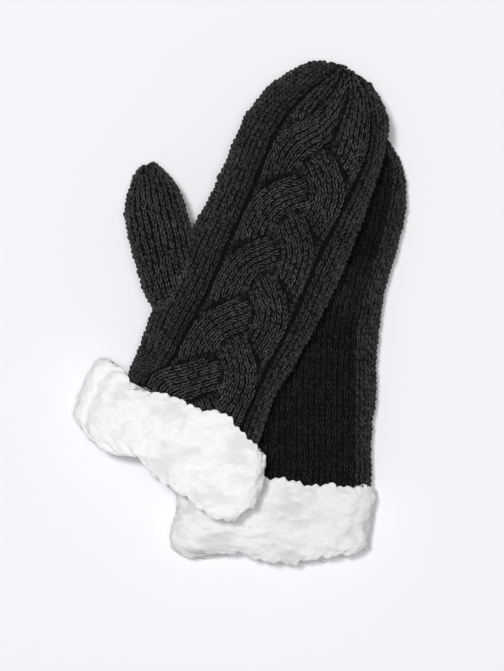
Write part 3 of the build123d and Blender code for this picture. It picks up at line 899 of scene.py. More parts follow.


# colour of the painted shade deep in the knit
PAINTED_DEEP_SHADE = (0.0025, 0.0026, 0.003, 1)
KNIT = yarn_material("charcoal_knit", (0.022, 0.022, 0.023, 1), (0.096, 0.096, 0.1, 1),
                     (0.34, 0.34, 0.35, 1), 0.03)
# painted shade: a darker copy of the knit for the palms, which show on the lower mitten
SHADED_PALM_KNIT = yarn_material("shaded_charcoal_palm_knit", (0.008, 0.008, 0.0082, 1),
                          (0.031, 0.031, 0.032, 1), (0.16, 0.16, 0.165, 1), 0.02)
RIB = yarn_material("charcoal_rib", (0.008, 0.008, 0.0085, 1), (0.05, 0.05, 0.053, 1),
                    (0.19, 0.19, 0.2, 1), 0.05)
FINE_KNIT = yarn_material("fine_black_knit", (0.009, 0.0095, 0.011, 1),
                          (0.026, 0.027, 0.03, 1), (0.08, 0.085, 0.095, 1), 0.08, 3600.0)
THREAD = yarn_material("dark_thread", (0.007, 0.0075, 0.009, 1), (0.02, 0.021, 0.024, 1),
                       (0.05, 0.052, 0.06, 1), 0.05, 4200.0)
SHERPA = pile_material("white_sherpa", (0.92, 0.92, 0.92, 1), (0.76, 0.76, 0.765, 1), 0.1)
# painted shade: a greyer copy of the sherpa for the lower mitten's cuff
SHADED_SHERPA = pile_material("shaded_sherpa", (0.84, 0.84, 0.84, 1), (0.66, 0.66, 0.665, 1), 0.1)
FLEECE = pile_material("grey_fleece", (0.085, 0.087, 0.095, 1), (0.045, 0.046, 0.05, 1), 0.3)

STITCHES = scatter_tree("knit_stitches", {"Wale": WALE, "Course": COURSE, "Yarn": YARN},
                        seed=11, unit_shape=stitch_shape, material=KNIT, shake=0.29,
                        growth=0.17, slack=0.36)


def pile_shape_tree(material):
    """Tree that raises a skin into soft lumps and curls of pile."""
    sizes = {"Lump Size": 17.0, "Lump Height": 2.0, "Curl Size": 5.0, "Curl Height": 1.3,
             "Fine Height": 0.4}
    tree, n, given, out = geometry_tree("pile_skin", sizes, 4)
    place = n.add("GeometryNodeInputPosition")
    seed = n.math("MULTIPLY", given.outputs["Seed"], 7.3)
    stretched = n.vector("MULTIPLY", {0: place, 1: (0.72, 1.2, 1.0)})
    moved = n.vector("ADD", {0: stretched, 1: seed})

    def scale_of(size):
        return n.math("DIVIDE", 1.0, given.outputs[size])

    def swing(high, low, size, factor):
        return n.math("MULTIPLY", n.math("SUBTRACT", high, low),
                      n.math("MULTIPLY", given.outputs[size], factor))
    lump = n.add("ShaderNodeTexNoise", {"Vector": moved, "Detail": 1.0,
                                        "Scale": scale_of("Lump Size")})
    curl = n.add("ShaderNodeTexVoronoi", {"Vector": moved, "Randomness": 1.0,
                                          "Scale": scale_of("Curl Size")}, feature="SMOOTH_F1")
    fine = n.add("ShaderNodeTexNoise", {"Vector": moved, "Detail": 2.0, "Scale": 0.36})
    rise = swing(lump.outputs["Fac"], 0.5, "Lump Height", 3.0)
    dome = swing(0.45, curl.outputs["Distance"], "Curl Height", 2.0)
    grain = swing(fine.outputs["Fac"], 0.5, "Fine Height", 3.0)
    height = n.math("MULTIPLY", named(n, "free", "FLOAT"),
                    n.math("ADD", rise, n.math("ADD", dome, grain)))
    offset = n.vector("SCALE", {0: n.add("GeometryNodeInputNormal"), "Scale": height})
    # painted shade: the pile darker where it lies low
    face = n.add("ShaderNodeMapRange", {"Value": height, "From Min": -1.2, "From Max": 1.2})
    shaded = keep_shade(n, given.outputs["Geometry"], face)
    skin = n.add("GeometryNodeSetPosition", {"Geometry": shaded, "Offset": offset})
    real = n.add("GeometryNodeRealizeInstances", {"Geometry": skin})
    finish_tree(n, out, real, material)
    return tree


PILE = pile_shape_tree(SHERPA)


def pile_part(part, free, values, floor=0.0):
    """Part with its skin raised into pile; free is 0 where it is sewn down."""
    thing = make_object("pile_base", [part], SHERPA)
    thing.data.transform(Matrix.Scale(1 / MM, 4))
    layer = thing.data.attributes.new("free", "FLOAT", "POINT")
    layer.data.foreach_set("value", np.asarray(free, np.float32).ravel())
    verts, loops, starts, shade = mesh_part(run_tree(thing, PILE, values))
    bpy.data.objects.remove(thing)
    verts[:, 2] = np.maximum(verts[:, 2], floor)
    return verts, loops, starts, shade


# ------------------------------------------------------------------ knit
def follow(length, values, at):
    return np.stack([np.interp(at, length, values[:, k]) for k in range(values.shape[1])], -1)


def stitch_columns(face, normals, inset, extra, wale=WALE, course=COURSE):
    """One point for each stitch of the columns of a grid of places.  Columns that have
    grown narrow are knitted together.  extra holds [station, column] values kept for each
    stitch."""
    rows, columns = face.shape[:2]
    inset = np.broadcast_to(inset, (rows, columns))
    places = face - normals * inset[..., None]
    gap = np.linalg.norm(np.diff(places, axis=1), axis=-1)
    width = np.concatenate([gap[:, :1], (gap[:, :-1] + gap[:, 1:]) / 2, gap[:, -1:]], 1)
    length = lengths_along(places, 0)
    found = {key: [] for key in ("place", "along", "outward", "size", *extra)}
    for c in range(columns):
        at = np.arange(0.5 * course, length[-1, c] - 0.25 * course, course)
        share = np.interp(at, length[:, c], width[:, c]) / wale
        merge = np.where(share < NARROW / 2, 4, np.where(share < NARROW, 2, 1))
        keep = c % merge == 0
        at, share = at[keep], share[keep] * merge[keep]
        found["place"].append(follow(length[:, c], places[:, c], at))
        ahead = follow(length[:, c], places[:, c], at + 1) - follow(length[:, c],
                                                                    places[:, c], at - 1)
        found["along"].append(unit(ahead))
        found["outward"].append(unit(follow(length[:, c], normals[:, c], at)))
        found["size"].append(np.stack([share, 0 * share + 1, 0 * share + 1], 1))
        for key, values in extra.items():
            found[key].append(np.interp(at, length[:, c], values[:, c]))
    return {key: np.concatenate(value) for key, value in found.items()}


class BackTable:
    """Looks up the face of a mitten's back at places given across and along."""

    def __init__(self, skin):
        self.skin = skin
        self.shares = np.linspace(-0.985, 0.985, 161)
        half = len(skin.outline[0]) // 5
        inner = slice(half, -half)
        self.level = np.array([np.interp(self.shares * skin.width[i], skin.outline[i, inner, 0],
                                         skin.outline[i, inner, 1])
                               for i in range(len(skin.y))])

    def zeta(self, x, y):
        row = np.interp(y, self.skin.y, np.arange(len(self.skin.y)))
        share = (x - self.skin.mitten.middle(y)) / half_width(y)
        column = np.interp(share, self.shares, np.arange(len(self.shares)))
        r, c = row.astype(int), column.astype(int)
        r2 = np.minimum(r + 1, len(self.skin.y) - 1)
        c2 = np.minimum(c + 1, len(self.shares) - 1)
        fr, fc = row - r, column - c
        low = self.level[r, c] * (1 - fc) + self.level[r, c2] * fc
        high = self.level[r2, c] * (1 - fc) + self.level[r2, c2] * fc
        return low * (1 - fr) + high * fr

    def place(self, x, y):
        return self.skin.mitten.lay(x, y, self.zeta(x, y))

    def normal(self, x, y):
        across = self.place(x + 0.6, y) - self.place(x - 0.6, y)
        along = self.place(x, y + 0.6) - self.place(x, y - 0.6)
        return unit(np.cross(across, along)) * self.skin.mitten.side


# ------------------------------------------------------------------ cable
def panel(y):
    """Middle and half-width of the cable panel between its grooves."""
    left, right = LEFT_GROOVE(y), RIGHT_GROOVE(y)
    return (left + right) / 2, np.maximum((right - left) / 2 - GROOVE_HALF, 2.0)


def strand_half(y):
    return panel(y)[1] * STRAND_SHARE


def strand_phase(y, k):
    beyond = np.maximum(y - PLAIT_END, 0)
    time = np.minimum(y, PLAIT_END) + PLAIT_EASE * (1 - np.exp(-beyond / PLAIT_EASE))
    return 2 * math.pi * ((time - PLAIT_START) / PLAIT_LENGTH + k / STRANDS)


def strand_middle(y, k):
    phase = strand_phase(y, k)
    centre, half = panel(y)
    swing = (np.sin(phase) + FULLNESS * np.sin(3 * phase)) / (1 - FULLNESS)
    return centre + half * (1 - STRAND_SHARE) * swing


def strand_lean(y, k):
    """Slope of a strand's middle, and its length for each unit along the mitten."""
    slope = strand_middle(y + 0.5, k) - strand_middle(y - 0.5, k)
    return slope, np.sqrt(1 + slope ** 2)


def strand_order(y, k):
    return -np.sin(2 * strand_phase(y, k))


def from_strand(x, y, k):
    """Distance from a strand's middle, square to it, and the strand's slope and lean there."""
    slope, lean = strand_lean(y, k)
    return (x - strand_middle(y, k)) / lean, slope, lean


def strand_height(y, k, offset, mitten):
    """Height of a strand's face over the panel's ground."""
    flat = smooth_step((y - PLAIT_FLATTEN) / (PLAIT_FLAT - PLAIT_FLATTEN))
    crown = np.maximum(1 - np.abs(offset / strand_half(y)) ** 2.1, 0) ** 0.75
    crown = crown * (1 - flat) + 0.55 * flat
    height = mitten.cable_crown * crown + mitten.cable_rise * strand_order(y, k) * (1 - flat)
    swell = 0.25 + 0.75 * smooth_step(y / CABLE_START)
    room = np.clip(FOLD_SHARE + (1 - FOLD_SHARE) * np.abs(y - FOLD_Y) / FOLD_ROOM, 0, 1)
    return height * np.minimum(swell, room)


def fill_stitches(table):
    """Plain turned stitches low down between the strands and the grooves."""
    y = np.arange(0.0, HAND_LENGTH - 2.0, CABLE_STEP)
    centre, half = panel(y)
    x = centre[:, None] + middles(FILL_WALES) * (half * 0.99)[:, None]
    along = y[:, None] + 0 * x
    points = stitch_columns(table.place(x, along), table.normal(x, along), FILL_INSET,
                            {"x": x, "y": along})
    clear = np.ones(len(points["x"]), bool)
    for k in range(STRANDS):
        across = from_strand(points["x"], points["y"], k)[0]
        clear &= np.abs(across) > 0.8 * strand_half(points["y"])
    points = pick(points, clear)
    points["along"] = np.cross(points["along"], points["outward"])
    points["size"][:, 0] = 1.0
    # painted shade: the low fill stitches darker
    points["tone"] = np.full(len(points["x"]), FILL_SHADE)
    return points


def cable_stitches(table, mitten):
    """Stitches of the three strands, without those that lie under another strand."""
    found = []
    y = np.arange(0.0, HAND_LENGTH - 0.6, CABLE_STEP)
    half = strand_half(y)
    for k in range(STRANDS):
        slope, lean = strand_lean(y, k)
        offset = middles(STRAND_WALES)[None, :] * half[:, None]
        x = strand_middle(y, k)[:, None] + offset / lean[:, None]
        along = np.clip(y[:, None] - offset * (slope / lean)[:, None], 0.2, HAND_LENGTH - 0.7)
        height = strand_height(along, k, offset, mitten)
        # painted light and shade: a strand lighter at its raised middle, darker at its edges
        crown = np.maximum(1 - np.abs(offset / half[:, None]) ** 2, 0) ** 0.8
        extra = {"x": x, "y": along, "order": strand_order(along, k),
                 "tone": STRAND_EDGE_SHADE + CROWN_LIGHT * crown}
        points = stitch_columns(table.place(x, along), table.normal(x, along),
                                CABLE_BASE - height, extra)
        hidden = np.zeros(len(points["x"]), bool)
        for other in range(STRANDS):
            if other == k:
                continue
            across, other_slope, other_lean = from_strand(points["x"], points["y"], other)
            beside = np.abs(across) / strand_half(points["y"])
            foot = points["y"] + across * other_slope / other_lean
            under = strand_order(foot, other) > points["order"] + 0.05
            hidden |= (beside < CREASE_FROM) & under
            # painted shadow on the under strand beside the edge of the strand over it
            painted_shadow_fade = smooth_step((beside - CREASE_FROM) / (CREASE_TO - CREASE_FROM))
            points["tone"] *= np.where(under, 0.1 + 0.9 * painted_shadow_fade, 1.0)
        inside = (points["y"] > 0.5) & (points["y"] < HAND_LENGTH - 1.2)
        found.append(pick(points, ~hidden & inside))
    found.append(fill_stitches(table))
    cable = joined(found, ("place", "along", "outward", "size", "tone", "y"))
    cable["zeta"] = np.full(len(cable["y"]), HALF_THICKNESS)
    return cable


# ------------------------------------------------------------------ one mitten
def piece(name, parts, material, nodes, body):
    """Finished piece that rides on one body."""
    thing = make_object(name, [part for part in parts if part is not None], material)
    if nodes:
        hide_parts(*nodes)
    if body:
        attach(thing, body)
    return thing


def groove_dip(distance):
    return GROOVE_DEPTH * np.exp(-(distance / GROOVE_REACH) ** 2)


def back_points(mitten, skin, table):
    """Stitches of the whole back: thumb-side strip, cable and far strip."""
    left, right = skin.grooves
    sets = [cable_stitches(table, mitten)]
    for start, end, count in ((0 * left, left - GROOVE_HALF, LEFT_WALES),
                              (right + GROOVE_HALF, skin.girth, RIGHT_WALES)):
        places = spread(start, end, (np.arange(count) + 0.5) / count)
        face, normals = skin.back(places)
        dip = groove_dip(np.minimum(np.abs(places - left[:, None]),
                                    np.abs(places - right[:, None])))
        extra = {"y": np.repeat(skin.y[:, None], count, 1),
                 "zeta": resample(skin.outline, places)[..., 1],
                 # painted shade: stitches darker beside the grooves
                 "tone": PLAIN_SHADE - GROOVE_SHADE * dip}
        sets.append(stitch_columns(face, normals, STITCH_INSET + dip, extra))
    return joined(sets, ("place", "along", "outward", "size", "tone", "y", "zeta"))


def ground_depth(mitten, x, y):
    """Depth of the ground in the cable panel, raised under the strands."""
    depth = np.full(x.shape, GROOVE_GROUND)
    for k in range(STRANDS):
        across = from_strand(x, y, k)[0]
        raised = CABLE_BASE + STRAND_GROUND - strand_height(y, k, across, mitten)
        covered = np.abs(across) < strand_half(y)
        depth = np.where(covered, np.minimum(depth, raised), depth)
    return depth


def back_ground(mitten, skin):
    """Grid of the dark ground behind the back's stitches, with its depth and shade."""
    left, right = skin.grooves
    columns = [spread(start, end, np.arange(count) / count)
               for start, end, count in zip((0 * left, left, right), (left, right, skin.girth),
                                            GROUND_COLUMNS)]
    places = np.concatenate(columns + [skin.girth[:, None]], 1)
    face, normals = skin.back(places)
    flat = resample(skin.outline, places)
    x, y = flat[..., 0] + skin.centre[:, None], np.repeat(skin.y[:, None], places.shape[1], 1)
    first = GROUND_COLUMNS[0]
    last = first + GROUND_COLUMNS[1]
    depth = np.full(places.shape, GROUND_INSET)
    depth[:, first:last + 1] = ground_depth(mitten, x, y)[:, first:last + 1]
    shade = np.full(places.shape, INSIDE_SHADE)
    # painted shade: the ground at the grooves' columns darkest
    shade[:, [first, last]] = 0.0
    return face, normals, depth, shade, flat[..., 1]


def tip_parts(mitten):
    """Stitches drawn together over the fingertip end, and the ground under them."""
    place, along, outward = [], [], []
    middle = float(mitten.middle(HAND_LENGTH))
    centre = mitten.lay(middle, HAND_LENGTH - TIP_DEEP, 0.0)
    for zeta in TIP_LEVELS:
        for x in np.linspace(-TIP_REACH, TIP_REACH, TIP_STITCHES):
            here = mitten.lay(middle + x, HAND_LENGTH - TIP_BACK - 0.02 * x * x, zeta)
            place.append(here)
            along.append(mitten.lay(middle + x, HAND_LENGTH - TIP_BACK, zeta + 1) - here)
            outward.append(here - centre)
    points = {"place": np.array(place), "along": unit(np.array(along)),
              "outward": unit(np.array(outward)), "size": np.ones((len(place), 3))}
    y = np.linspace(HAND_LENGTH - TIP_DEEP, HAND_LENGTH - 1.6, 8)
    cap = closed_tube(ring(mitten, y, 1.5, 40), ring(mitten, y, 2.3, 40), mitten.side)
    return [scatter({"Yarn": YARN}, points), cap]


def knot_points(mitten):
    """The small knot of joined yarn that stands out of the cap's thumb-side edge."""
    turn = np.arange(KNOT_STITCHES) / KNOT_STITCHES * 2 * math.pi
    y = KNOT_Y + KNOT_SPREAD[0] * np.cos(turn)
    zeta = KNOT_LEVEL + KNOT_SPREAD[1] * np.sin(turn)
    x = mitten.middle(y) - half_width(y) + KNOT_INSET
    place = mitten.lay(x, y, zeta)
    along = unit(mitten.lay(x, y + 1, zeta) - place)
    heart = mitten.lay(x + 4, KNOT_Y, KNOT_LEVEL)
    return {"place": place, "along": along, "outward": unit(place - heart),
            "size": np.tile([0.9, 0.8, 1.0], (len(turn), 1))}


def make_knit(mitten, skin, table):
    """The knitted back and palm of the hand and the cap, the strip at the fold and the hem."""
    name, side = mitten.name, mitten.side
    values = {"Yarn": YARN, "Course": STITCH_COURSE}
    points = back_points(mitten, skin, table)
    face, normals, depth, shade, zeta = back_ground(mitten, skin)

    def ground(rows, columns=slice(None)):
        return slab(face[rows, columns], normals[rows, columns], depth[rows, columns],
                    GROUND_WALL, side, shade=shade[rows, columns])
    hand_rows = skin.cut(0, FOLD_Y)
    strip_rows = skin.cut(FOLD_Y + FOLD_GAP, FOLD_Y + FOLD_STRIP)
    rest_rows = skin.cut(FOLD_Y + FOLD_STRIP, HAND_LENGTH)
    at_fold = np.nonzero(zeta[strip_rows].min(0) > FOLD_DEPTH)[0]
    first, last = at_fold[0], at_fold[-1]
    on_hand = points["y"] < FOLD_Y
    on_strip = ~on_hand & (points["y"] < FOLD_Y + FOLD_STRIP) & (points["zeta"] > FOLD_DEPTH)
    on_rest = ~on_hand & ~on_strip
    piece(name + "_back_knit", [scatter(values, pick(points, on_hand)),
                                ground(hand_rows)],
          KNIT, [name + "_back_panel"], mitten.hand)
    strip = piece(name + "_fold_knit", [scatter(values, pick(points, on_strip)),
                                        ground(slice(strip_rows.start - 1, strip_rows.stop),
                                               slice(first, last + 1))],
                  KNIT, [], None)
    start = mitten.lay(mitten.middle(FOLD_Y), FOLD_Y, HALF_THICKNESS)
    end = mitten.lay(mitten.middle(FOLD_Y), FOLD_Y + FOLD_REACH, HALF_THICKNESS)
    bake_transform(strip)
    knot = [scatter(values, knot_points(mitten))] if mitten is RIGHT else []
    piece(name + "_cap_back_knit", [scatter(values, pick(points, on_rest)), *knot,
                                    ground(rest_rows), *tip_parts(mitten),
                                    ground(strip_rows, slice(0, first + 1)),
                                    ground(strip_rows, slice(last, None))],
          KNIT, [name + "_cap_back", name + "_cap_crown"], mitten.cap)

    def palm_piece(label, low, high, stand, nodes, body, material=SHADED_PALM_KNIT):
        rows = skin.cut(low, high)
        palm, palm_normals = skin.palm(middles(PALM_WALES), stand)
        back, back_normals = skin.palm(np.linspace(-1, 1, PALM_COLUMNS), stand)
        stitches = stitch_columns(palm[rows], palm_normals[rows], STITCH_INSET, {})
        backing = slab(back[rows], back_normals[rows], GROUND_INSET, GROUND_WALL, -side)
        piece(name + label, [scatter({**values, "Course": PALM_COURSE}, stitches), backing],
              material, nodes, body)
    palm_piece("_palm_knit", 0, FOLD_Y, 0, [name + "_palm_panel"], mitten.hand)
    palm_piece("_cap_palm_knit", HEM_TOP, HAND_LENGTH, 0, [name + "_cap_palm"], mitten.cap)
    palm_piece("_hem_knit", HEM_LOW, HEM_TOP, HEM_STAND, [name + "_cap_hem"], mitten.cap,
               RIB)


def make_seams(mitten, skin):
    """Rows of small chained stitches along both edges of the palm."""
    name = mitten.name
    for label, low, high, nodes, body in (
            ("_palm_seam_stitches", 0, FOLD_Y, [name + "_palm_seams"], mitten.hand),
            ("_cap_seam_stitches", HEM_TOP, HAND_LENGTH - 1, [name + "_cap_seams"], mitten.cap)):
        rows = skin.cut(low, high)
        sets = []
        for edge in (-1, 1):
            face, normals = skin.palm(np.array([edge - 0.02, edge, edge + 0.02]))
            points = stitch_columns(face[rows], normals[rows], SEAM_INSET, {},
                                    wale=SEAM_WALE, course=SEAM_COURSE)
            third = len(points["place"]) // 3
            points = pick(points, slice(third, 2 * third))
            points["size"] = np.tile(SEAM_SIZE, (third, 1))
            sets.append(points)
        piece(name + label, [scatter({"Yarn": THREAD_YARN}, *sets)], THREAD, nodes,
              body)


def ring(mitten, y, inset, columns, mouth=False):
    """Sleeve of places inset from the hand's face, columns wrapping round it.  With mouth,
    its low end follows the cuff's lower edge."""
    width, depth = half_width(y) - inset, half_depth(y) - inset
    palm_flat, back_flat = hand_flats(y)
    width, depth = np.maximum(width, 1.2), np.maximum(depth, 0.8)
    x, zeta = sleeve(rolled(width, depth, np.minimum(palm_flat, width - 0.5),
                            np.minimum(back_flat, width - 0.7)), columns)
    x = x + mitten.middle(y)[:, None]
    along = y[:, None] + 0 * x
    if mouth:
        edge = mitten.cuff_low(x - mitten.middle(0) - mitten.cuff_middle)
        along = along + smooth_step((-22 - along) / 14) * edge
    return mitten.lay(x, along, zeta)


def fleece_piece(name, outer, inner, side, free, values, node, body):
    """Fleece lining closed at the end, whose pile stands on its inner face."""
    part = closed_tube(outer, inner, side)
    count = outer[..., 0].size
    standing = np.zeros(len(part[0]))
    standing[count:2 * count] = free
    piece(name, [pile_part(part, standing, values)], FLEECE, [node], body)


def make_linings(mitten):
    """Pile lining of the hand and fleece lining of the cap."""
    name, side = mitten.name, mitten.side
    y = np.linspace(LINING_START, BAND_LOW - 0.4, LINING_ROWS)
    outer = ring(mitten, y, 3.2 + 2.0 * smooth_step((y + 6) / 8), LINING_COLUMNS, mouth=True)
    inner = ring(mitten, y, LINING_IN, LINING_COLUMNS, mouth=True)
    free = np.zeros((2, LINING_ROWS, LINING_COLUMNS))
    free[0, :6] = 0.3
    free[1] = 0.7
    values = {"Seed": 5, "Curl Size": 5.0, "Curl Height": 1.2, "Lump Height": 0.8,
              "Fine Height": 0.5}
    piece(name + "_hand_lining", [pile_part(open_tube(outer, inner, side), free, values)],
          SHERPA, [name + "_back_lining", name + "_palm_lining"], mitten.hand)
    y = np.linspace(FOLD_Y + 0.6, HAND_LENGTH - 14, 84)
    outer, inner = (ring(mitten, y, inset, 170) for inset in CAP_FLEECE)
    fleece_piece(name + "_cap_fleece", outer, inner, side, 0.5,
                 {**FLEECE_CURL, "Fine Height": 0.5}, name + "_cap_lining", mitten.cap)


def thumb_ring(mitten, along, inset, columns):
    """Places round the thumb, and where they are in the hand's flat frame."""
    width = THUMB_WIDTH(along) - inset
    depth = THUMB_DEPTH(along) * THUMB_HALF_HEIGHT - inset
    x, zeta = sleeve(rolled(width, depth, 0.4 * width, 0.4 * width), columns, 0.5)
    across = x + THUMB_MIDDLE(along)[:, None]
    return mitten.thumb_place(along[:, None] + 0 * x, across, zeta)


def make_thumb(mitten, skin):
    """Knitted thumb, blended into the hand at its root, and its fleece lining."""
    name, side = mitten.name, mitten.side
    along = np.linspace(-34, THUMB_END - 0.2, 84)
    face, inside = thumb_ring(mitten, along, 0, THUMB_WALES)
    normals = grid_normals(face, side, wrap=True)
    buried = WideTable(skin).depth_inside(inside)
    points = unique_points(stitch_columns(wrapped(face), wrapped(normals), STITCH_INSET,
                                          {"buried": wrapped(buried)}))
    points = pick(points, points["buried"] < BURIED)
    # painted shade of the thumb's stitches
    points["tone"] = np.full(len(points["place"]), THUMB_SHADE)
    grid = thumb_ring(mitten, along, 0, THUMB_COLUMNS)[0]
    grid_out = grid_normals(grid, side, wrap=True)
    ground = closed_tube(grid - grid_out * GROUND_INSET, grid - grid_out * THUMB_GROUND, side)
    thumb = piece(name + "_thumb_knit",
                  [scatter({"Yarn": YARN, "Course": STITCH_COURSE}, points), ground],
                  KNIT, [name + "_thumb_gusset", name + "_thumb_stall"], None)
    start = mitten.thumb_place(2.0, 0.0, 0.0)[0] * MM
    end = mitten.thumb_place(THUMB_START, 0.0, 0.0)[0] * MM
    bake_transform(thumb)
    along = np.linspace(THUMB_START + 0.3, THUMB_END - 6, 30)
    outer, inner = (thumb_ring(mitten, along, inset, 60)[0] for inset in THUMB_FLEECE)
    fleece_piece(name + "_thumb_fleece", outer, inner, side, 0.4, FLEECE_CURL,
                 name + "_thumb_lining", mitten.thumb)


def unique_points(points):
    """Drops the doubled first column of a set that was wrapped round."""
    place = np.round(points["place"], 3)
    keep = np.unique(place, axis=0, return_index=True)[1]
    return pick(points, np.sort(keep))


class WideTable:
    """Half-width of the hand at a height through it, to tell what lies inside."""

    def __init__(self, skin):
        self.skin = skin
        self.level = np.linspace(-1, 1, 61)
        self.width = np.array([np.interp(self.level, line[:2 * ROUND_STEPS, 1] / depth,
                                         -line[:2 * ROUND_STEPS, 0])
                               for line, depth in zip(skin.outline, skin.depth)])

    def depth_inside(self, inside):
        """How far places in the hand's flat frame are inside its thumb-side face."""
        x, y, zeta = inside[..., 0], inside[..., 1], inside[..., 2]
        row = np.interp(y, self.skin.y, np.arange(len(self.skin.y))).astype(int)
        share = zeta / half_depth(y)
        column = np.interp(share, self.level, np.arange(len(self.level))).astype(int)
        depth = (x - self.skin.mitten.middle(y)) + self.width[row, column]
        return np.where((np.abs(share) > 1) | (y > FOLD_Y + 4), -9.0, depth)


def make_fingers(mitten):
    """Ribbed knuckle band and the four fine-knit finger stalls it carries."""
    name, side = mitten.name, mitten.side
    y = np.linspace(BAND_LOW, BAND_TOP, 26)
    inset = np.where(y < FOLD_Y - 0.3, KNIT_WALL + 1.6, BAND_OUT + 0.2)
    outer, inner = (ring(mitten, y, depth, RIB_COLUMNS) for depth in (inset, BAND_IN))
    ribs = 0.45 * np.cos(np.arange(RIB_COLUMNS) / RIB_COLUMNS * 2 * math.pi * RIBS)
    outer = outer + grid_normals(outer, side, wrap=True) * ribs[None, :, None]
    piece(name + "_knuckle_rib", [open_tube(outer, inner, side, 0.8)], RIB,
          [name + "_knuckle_band"], mitten.hand)
    turn = np.arange(STALL_COLUMNS) / STALL_COLUMNS * STALL_WALES
    v_shape = np.abs((turn % 1) - 0.5)[None, :]
    for finger, (step, length) in STALLS.items():
        top = BAND_TOP + length
        y = np.concatenate([np.linspace(BAND_TOP, top - STALL_TIP, int(length / 0.8)),
                            top - STALL_TIP * (1 - np.linspace(0.08, 0.96, 9))])
        share = 0.4 + 0.6 * np.sqrt(np.clip((top - y) / STALL_TIP, 0, 1))
        sleeves = []
        for inset in (0.35, STALL_WALL):
            width = STALL_HALF_WIDTH * share - inset
            depth = STALL_HALF_HEIGHT * share - inset
            x, zeta = sleeve(rolled(width, depth, 0.3 * width, 0.3 * width), STALL_COLUMNS)
            x = x + (mitten.middle(y) + step * STALL_PITCH)[:, None]
            sleeves.append(mitten.lay(x, y[:, None] + 0 * x, zeta))
        row = (y[:, None] / 2.3 + v_shape * 0.9)
        height = 0.35 * np.abs(np.sin(math.pi * turn))[None, :] + 0.16 * np.cos(2 * math.pi * row)
        outer = sleeves[0] + grid_normals(sleeves[0], side, wrap=True) * height[..., None]
        piece(f"{name}_{finger}_knit_stall", [closed_tube(outer, sleeves[1], side, 0.8)],
              FINE_KNIT, [f"{name}_{finger}_stall"], mitten.hand)


# ------------------------------------------------------------------ cuffs
def closed_curve(rows, steps):
    """Smooth closed curve through rows, evenly stepped."""
    rows = np.array(rows, float)
    t = np.linspace(0, 1, 13)[:-1, None]
    runs = []
    for i in range(len(rows)):
        a, b, c, d = (rows[(i + k) % len(rows)] for k in (-1, 0, 1, 2))
        runs.append(0.5 * (2 * b + (c - a) * t + (2 * a - 5 * b + 4 * c - d) * t ** 2
                           + (3 * b - a - 3 * c + d) * t ** 3))
    line = np.concatenate(runs)
    line = np.concatenate([line, line[:1]])
    length = lengths_along(line[:, :2] * [1, 11], 0)
    at = np.linspace(0, length[-1], steps + 1)[:-1]
    return np.stack([np.interp(at, length, line[:, k]) for k in range(3)], 1)


def waves(rows, turn, seed):
    return sum(height * np.sin(count * turn + share * seed + start)
               for height, count, share, start in rows)


def cuff_sleeves(mitten, y):
    """Places across and through of a cuff's outer face, and of the knit that it is sewn to."""
    width = np.full(len(y), CUFF_HALF_WIDTH - 1.0)
    outer = rolled(width, CUFF_HALF - 0.8 + 0 * width, CUFF_FLAT, CUFF_FLAT)
    x_out, z_out = sleeve(outer, CUFF_COLUMNS)
    y = np.maximum(y, -CUFF_LENGTH)
    inner = rolled(half_width(y) - KNIT_WALL, half_depth(y) - KNIT_WALL, *hand_flats(y))
    x_in, z_in = sleeve(inner, CUFF_COLUMNS)
    x_out = x_out + mitten.middle(0) + mitten.cuff_middle
    return x_out, z_out, x_in + mitten.middle(y)[:, None], z_in


def make_cuff(mitten, seed):
    """Turned-up pile cuff, and the tape that covers its seam."""
    name, side = mitten.name, mitten.side
    profile = closed_curve(CUFF_PROFILE, CUFF_STEPS)
    turn = np.arange(CUFF_COLUMNS) / CUFF_COLUMNS * 2 * math.pi
    scallop, hem_wave = (waves(rows, turn, seed) for rows in (TOP_WAVES, LOW_WAVES))
    y0, share, free = profile[:, 0], profile[:, 1], profile[:, 2]
    top = smooth_step((y0 + 14) / 16)[:, None] * (share > 0.5)[:, None]
    low = smooth_step((-32 - y0) / 14)[:, None]
    x_out, z_out, x_in, z_in = cuff_sleeves(mitten, y0)
    centre = mitten.middle(0) + mitten.cuff_middle
    across = x_out[0] - centre
    x_out = centre + across * np.where(across < 0, *mitten.cuff_reach)
    z_out = z_out * (1 - CREASE_PINCH * np.exp(-((across - mitten.cuff_crease)
                                                 / CREASE_WIDTH) ** 2))
    h = share[:, None]
    y = (y0[:, None] + top * (scallop + mitten.cuff_top(across))
         + low * (hem_wave + mitten.cuff_low(across)))
    grid = mitten.lay(x_in + (x_out - x_in) * h, y, z_in + (z_out - z_in) * h)
    quads = grid_quads(CUFF_STEPS, CUFF_COLUMNS, wrap_rows=True, wrap_columns=True)
    part = quad_part(grid.reshape(-1, 3), quads, outward=side)
    values = {"Seed": seed, "Lump Size": 24.0, "Lump Height": 2.4, "Curl Size": 6.0,
              "Curl Height": 1.3, "Fine Height": 0.6}
    made = pile_part(part, np.repeat(free, CUFF_COLUMNS), values, floor=CUFF_FLOOR)
    # painted shade: the lower mitten's cuff gets the greyer copy of the sherpa
    pile = SHERPA if side > 0 else SHADED_SHERPA
    cuff = piece(name + "_sherpa_cuff", [made], pile, [name + "_cuff"], mitten.hand)
    y = np.linspace(-1.5, 0.2, 3)
    outer, inner = (ring(mitten, y, inset, 120) for inset in TAPE)
    piece(name + "_cuff_seam_tape", [open_tube(outer, inner, side, 0.5)], THREAD,
          [name + "_cuff_seam"], mitten.hand)


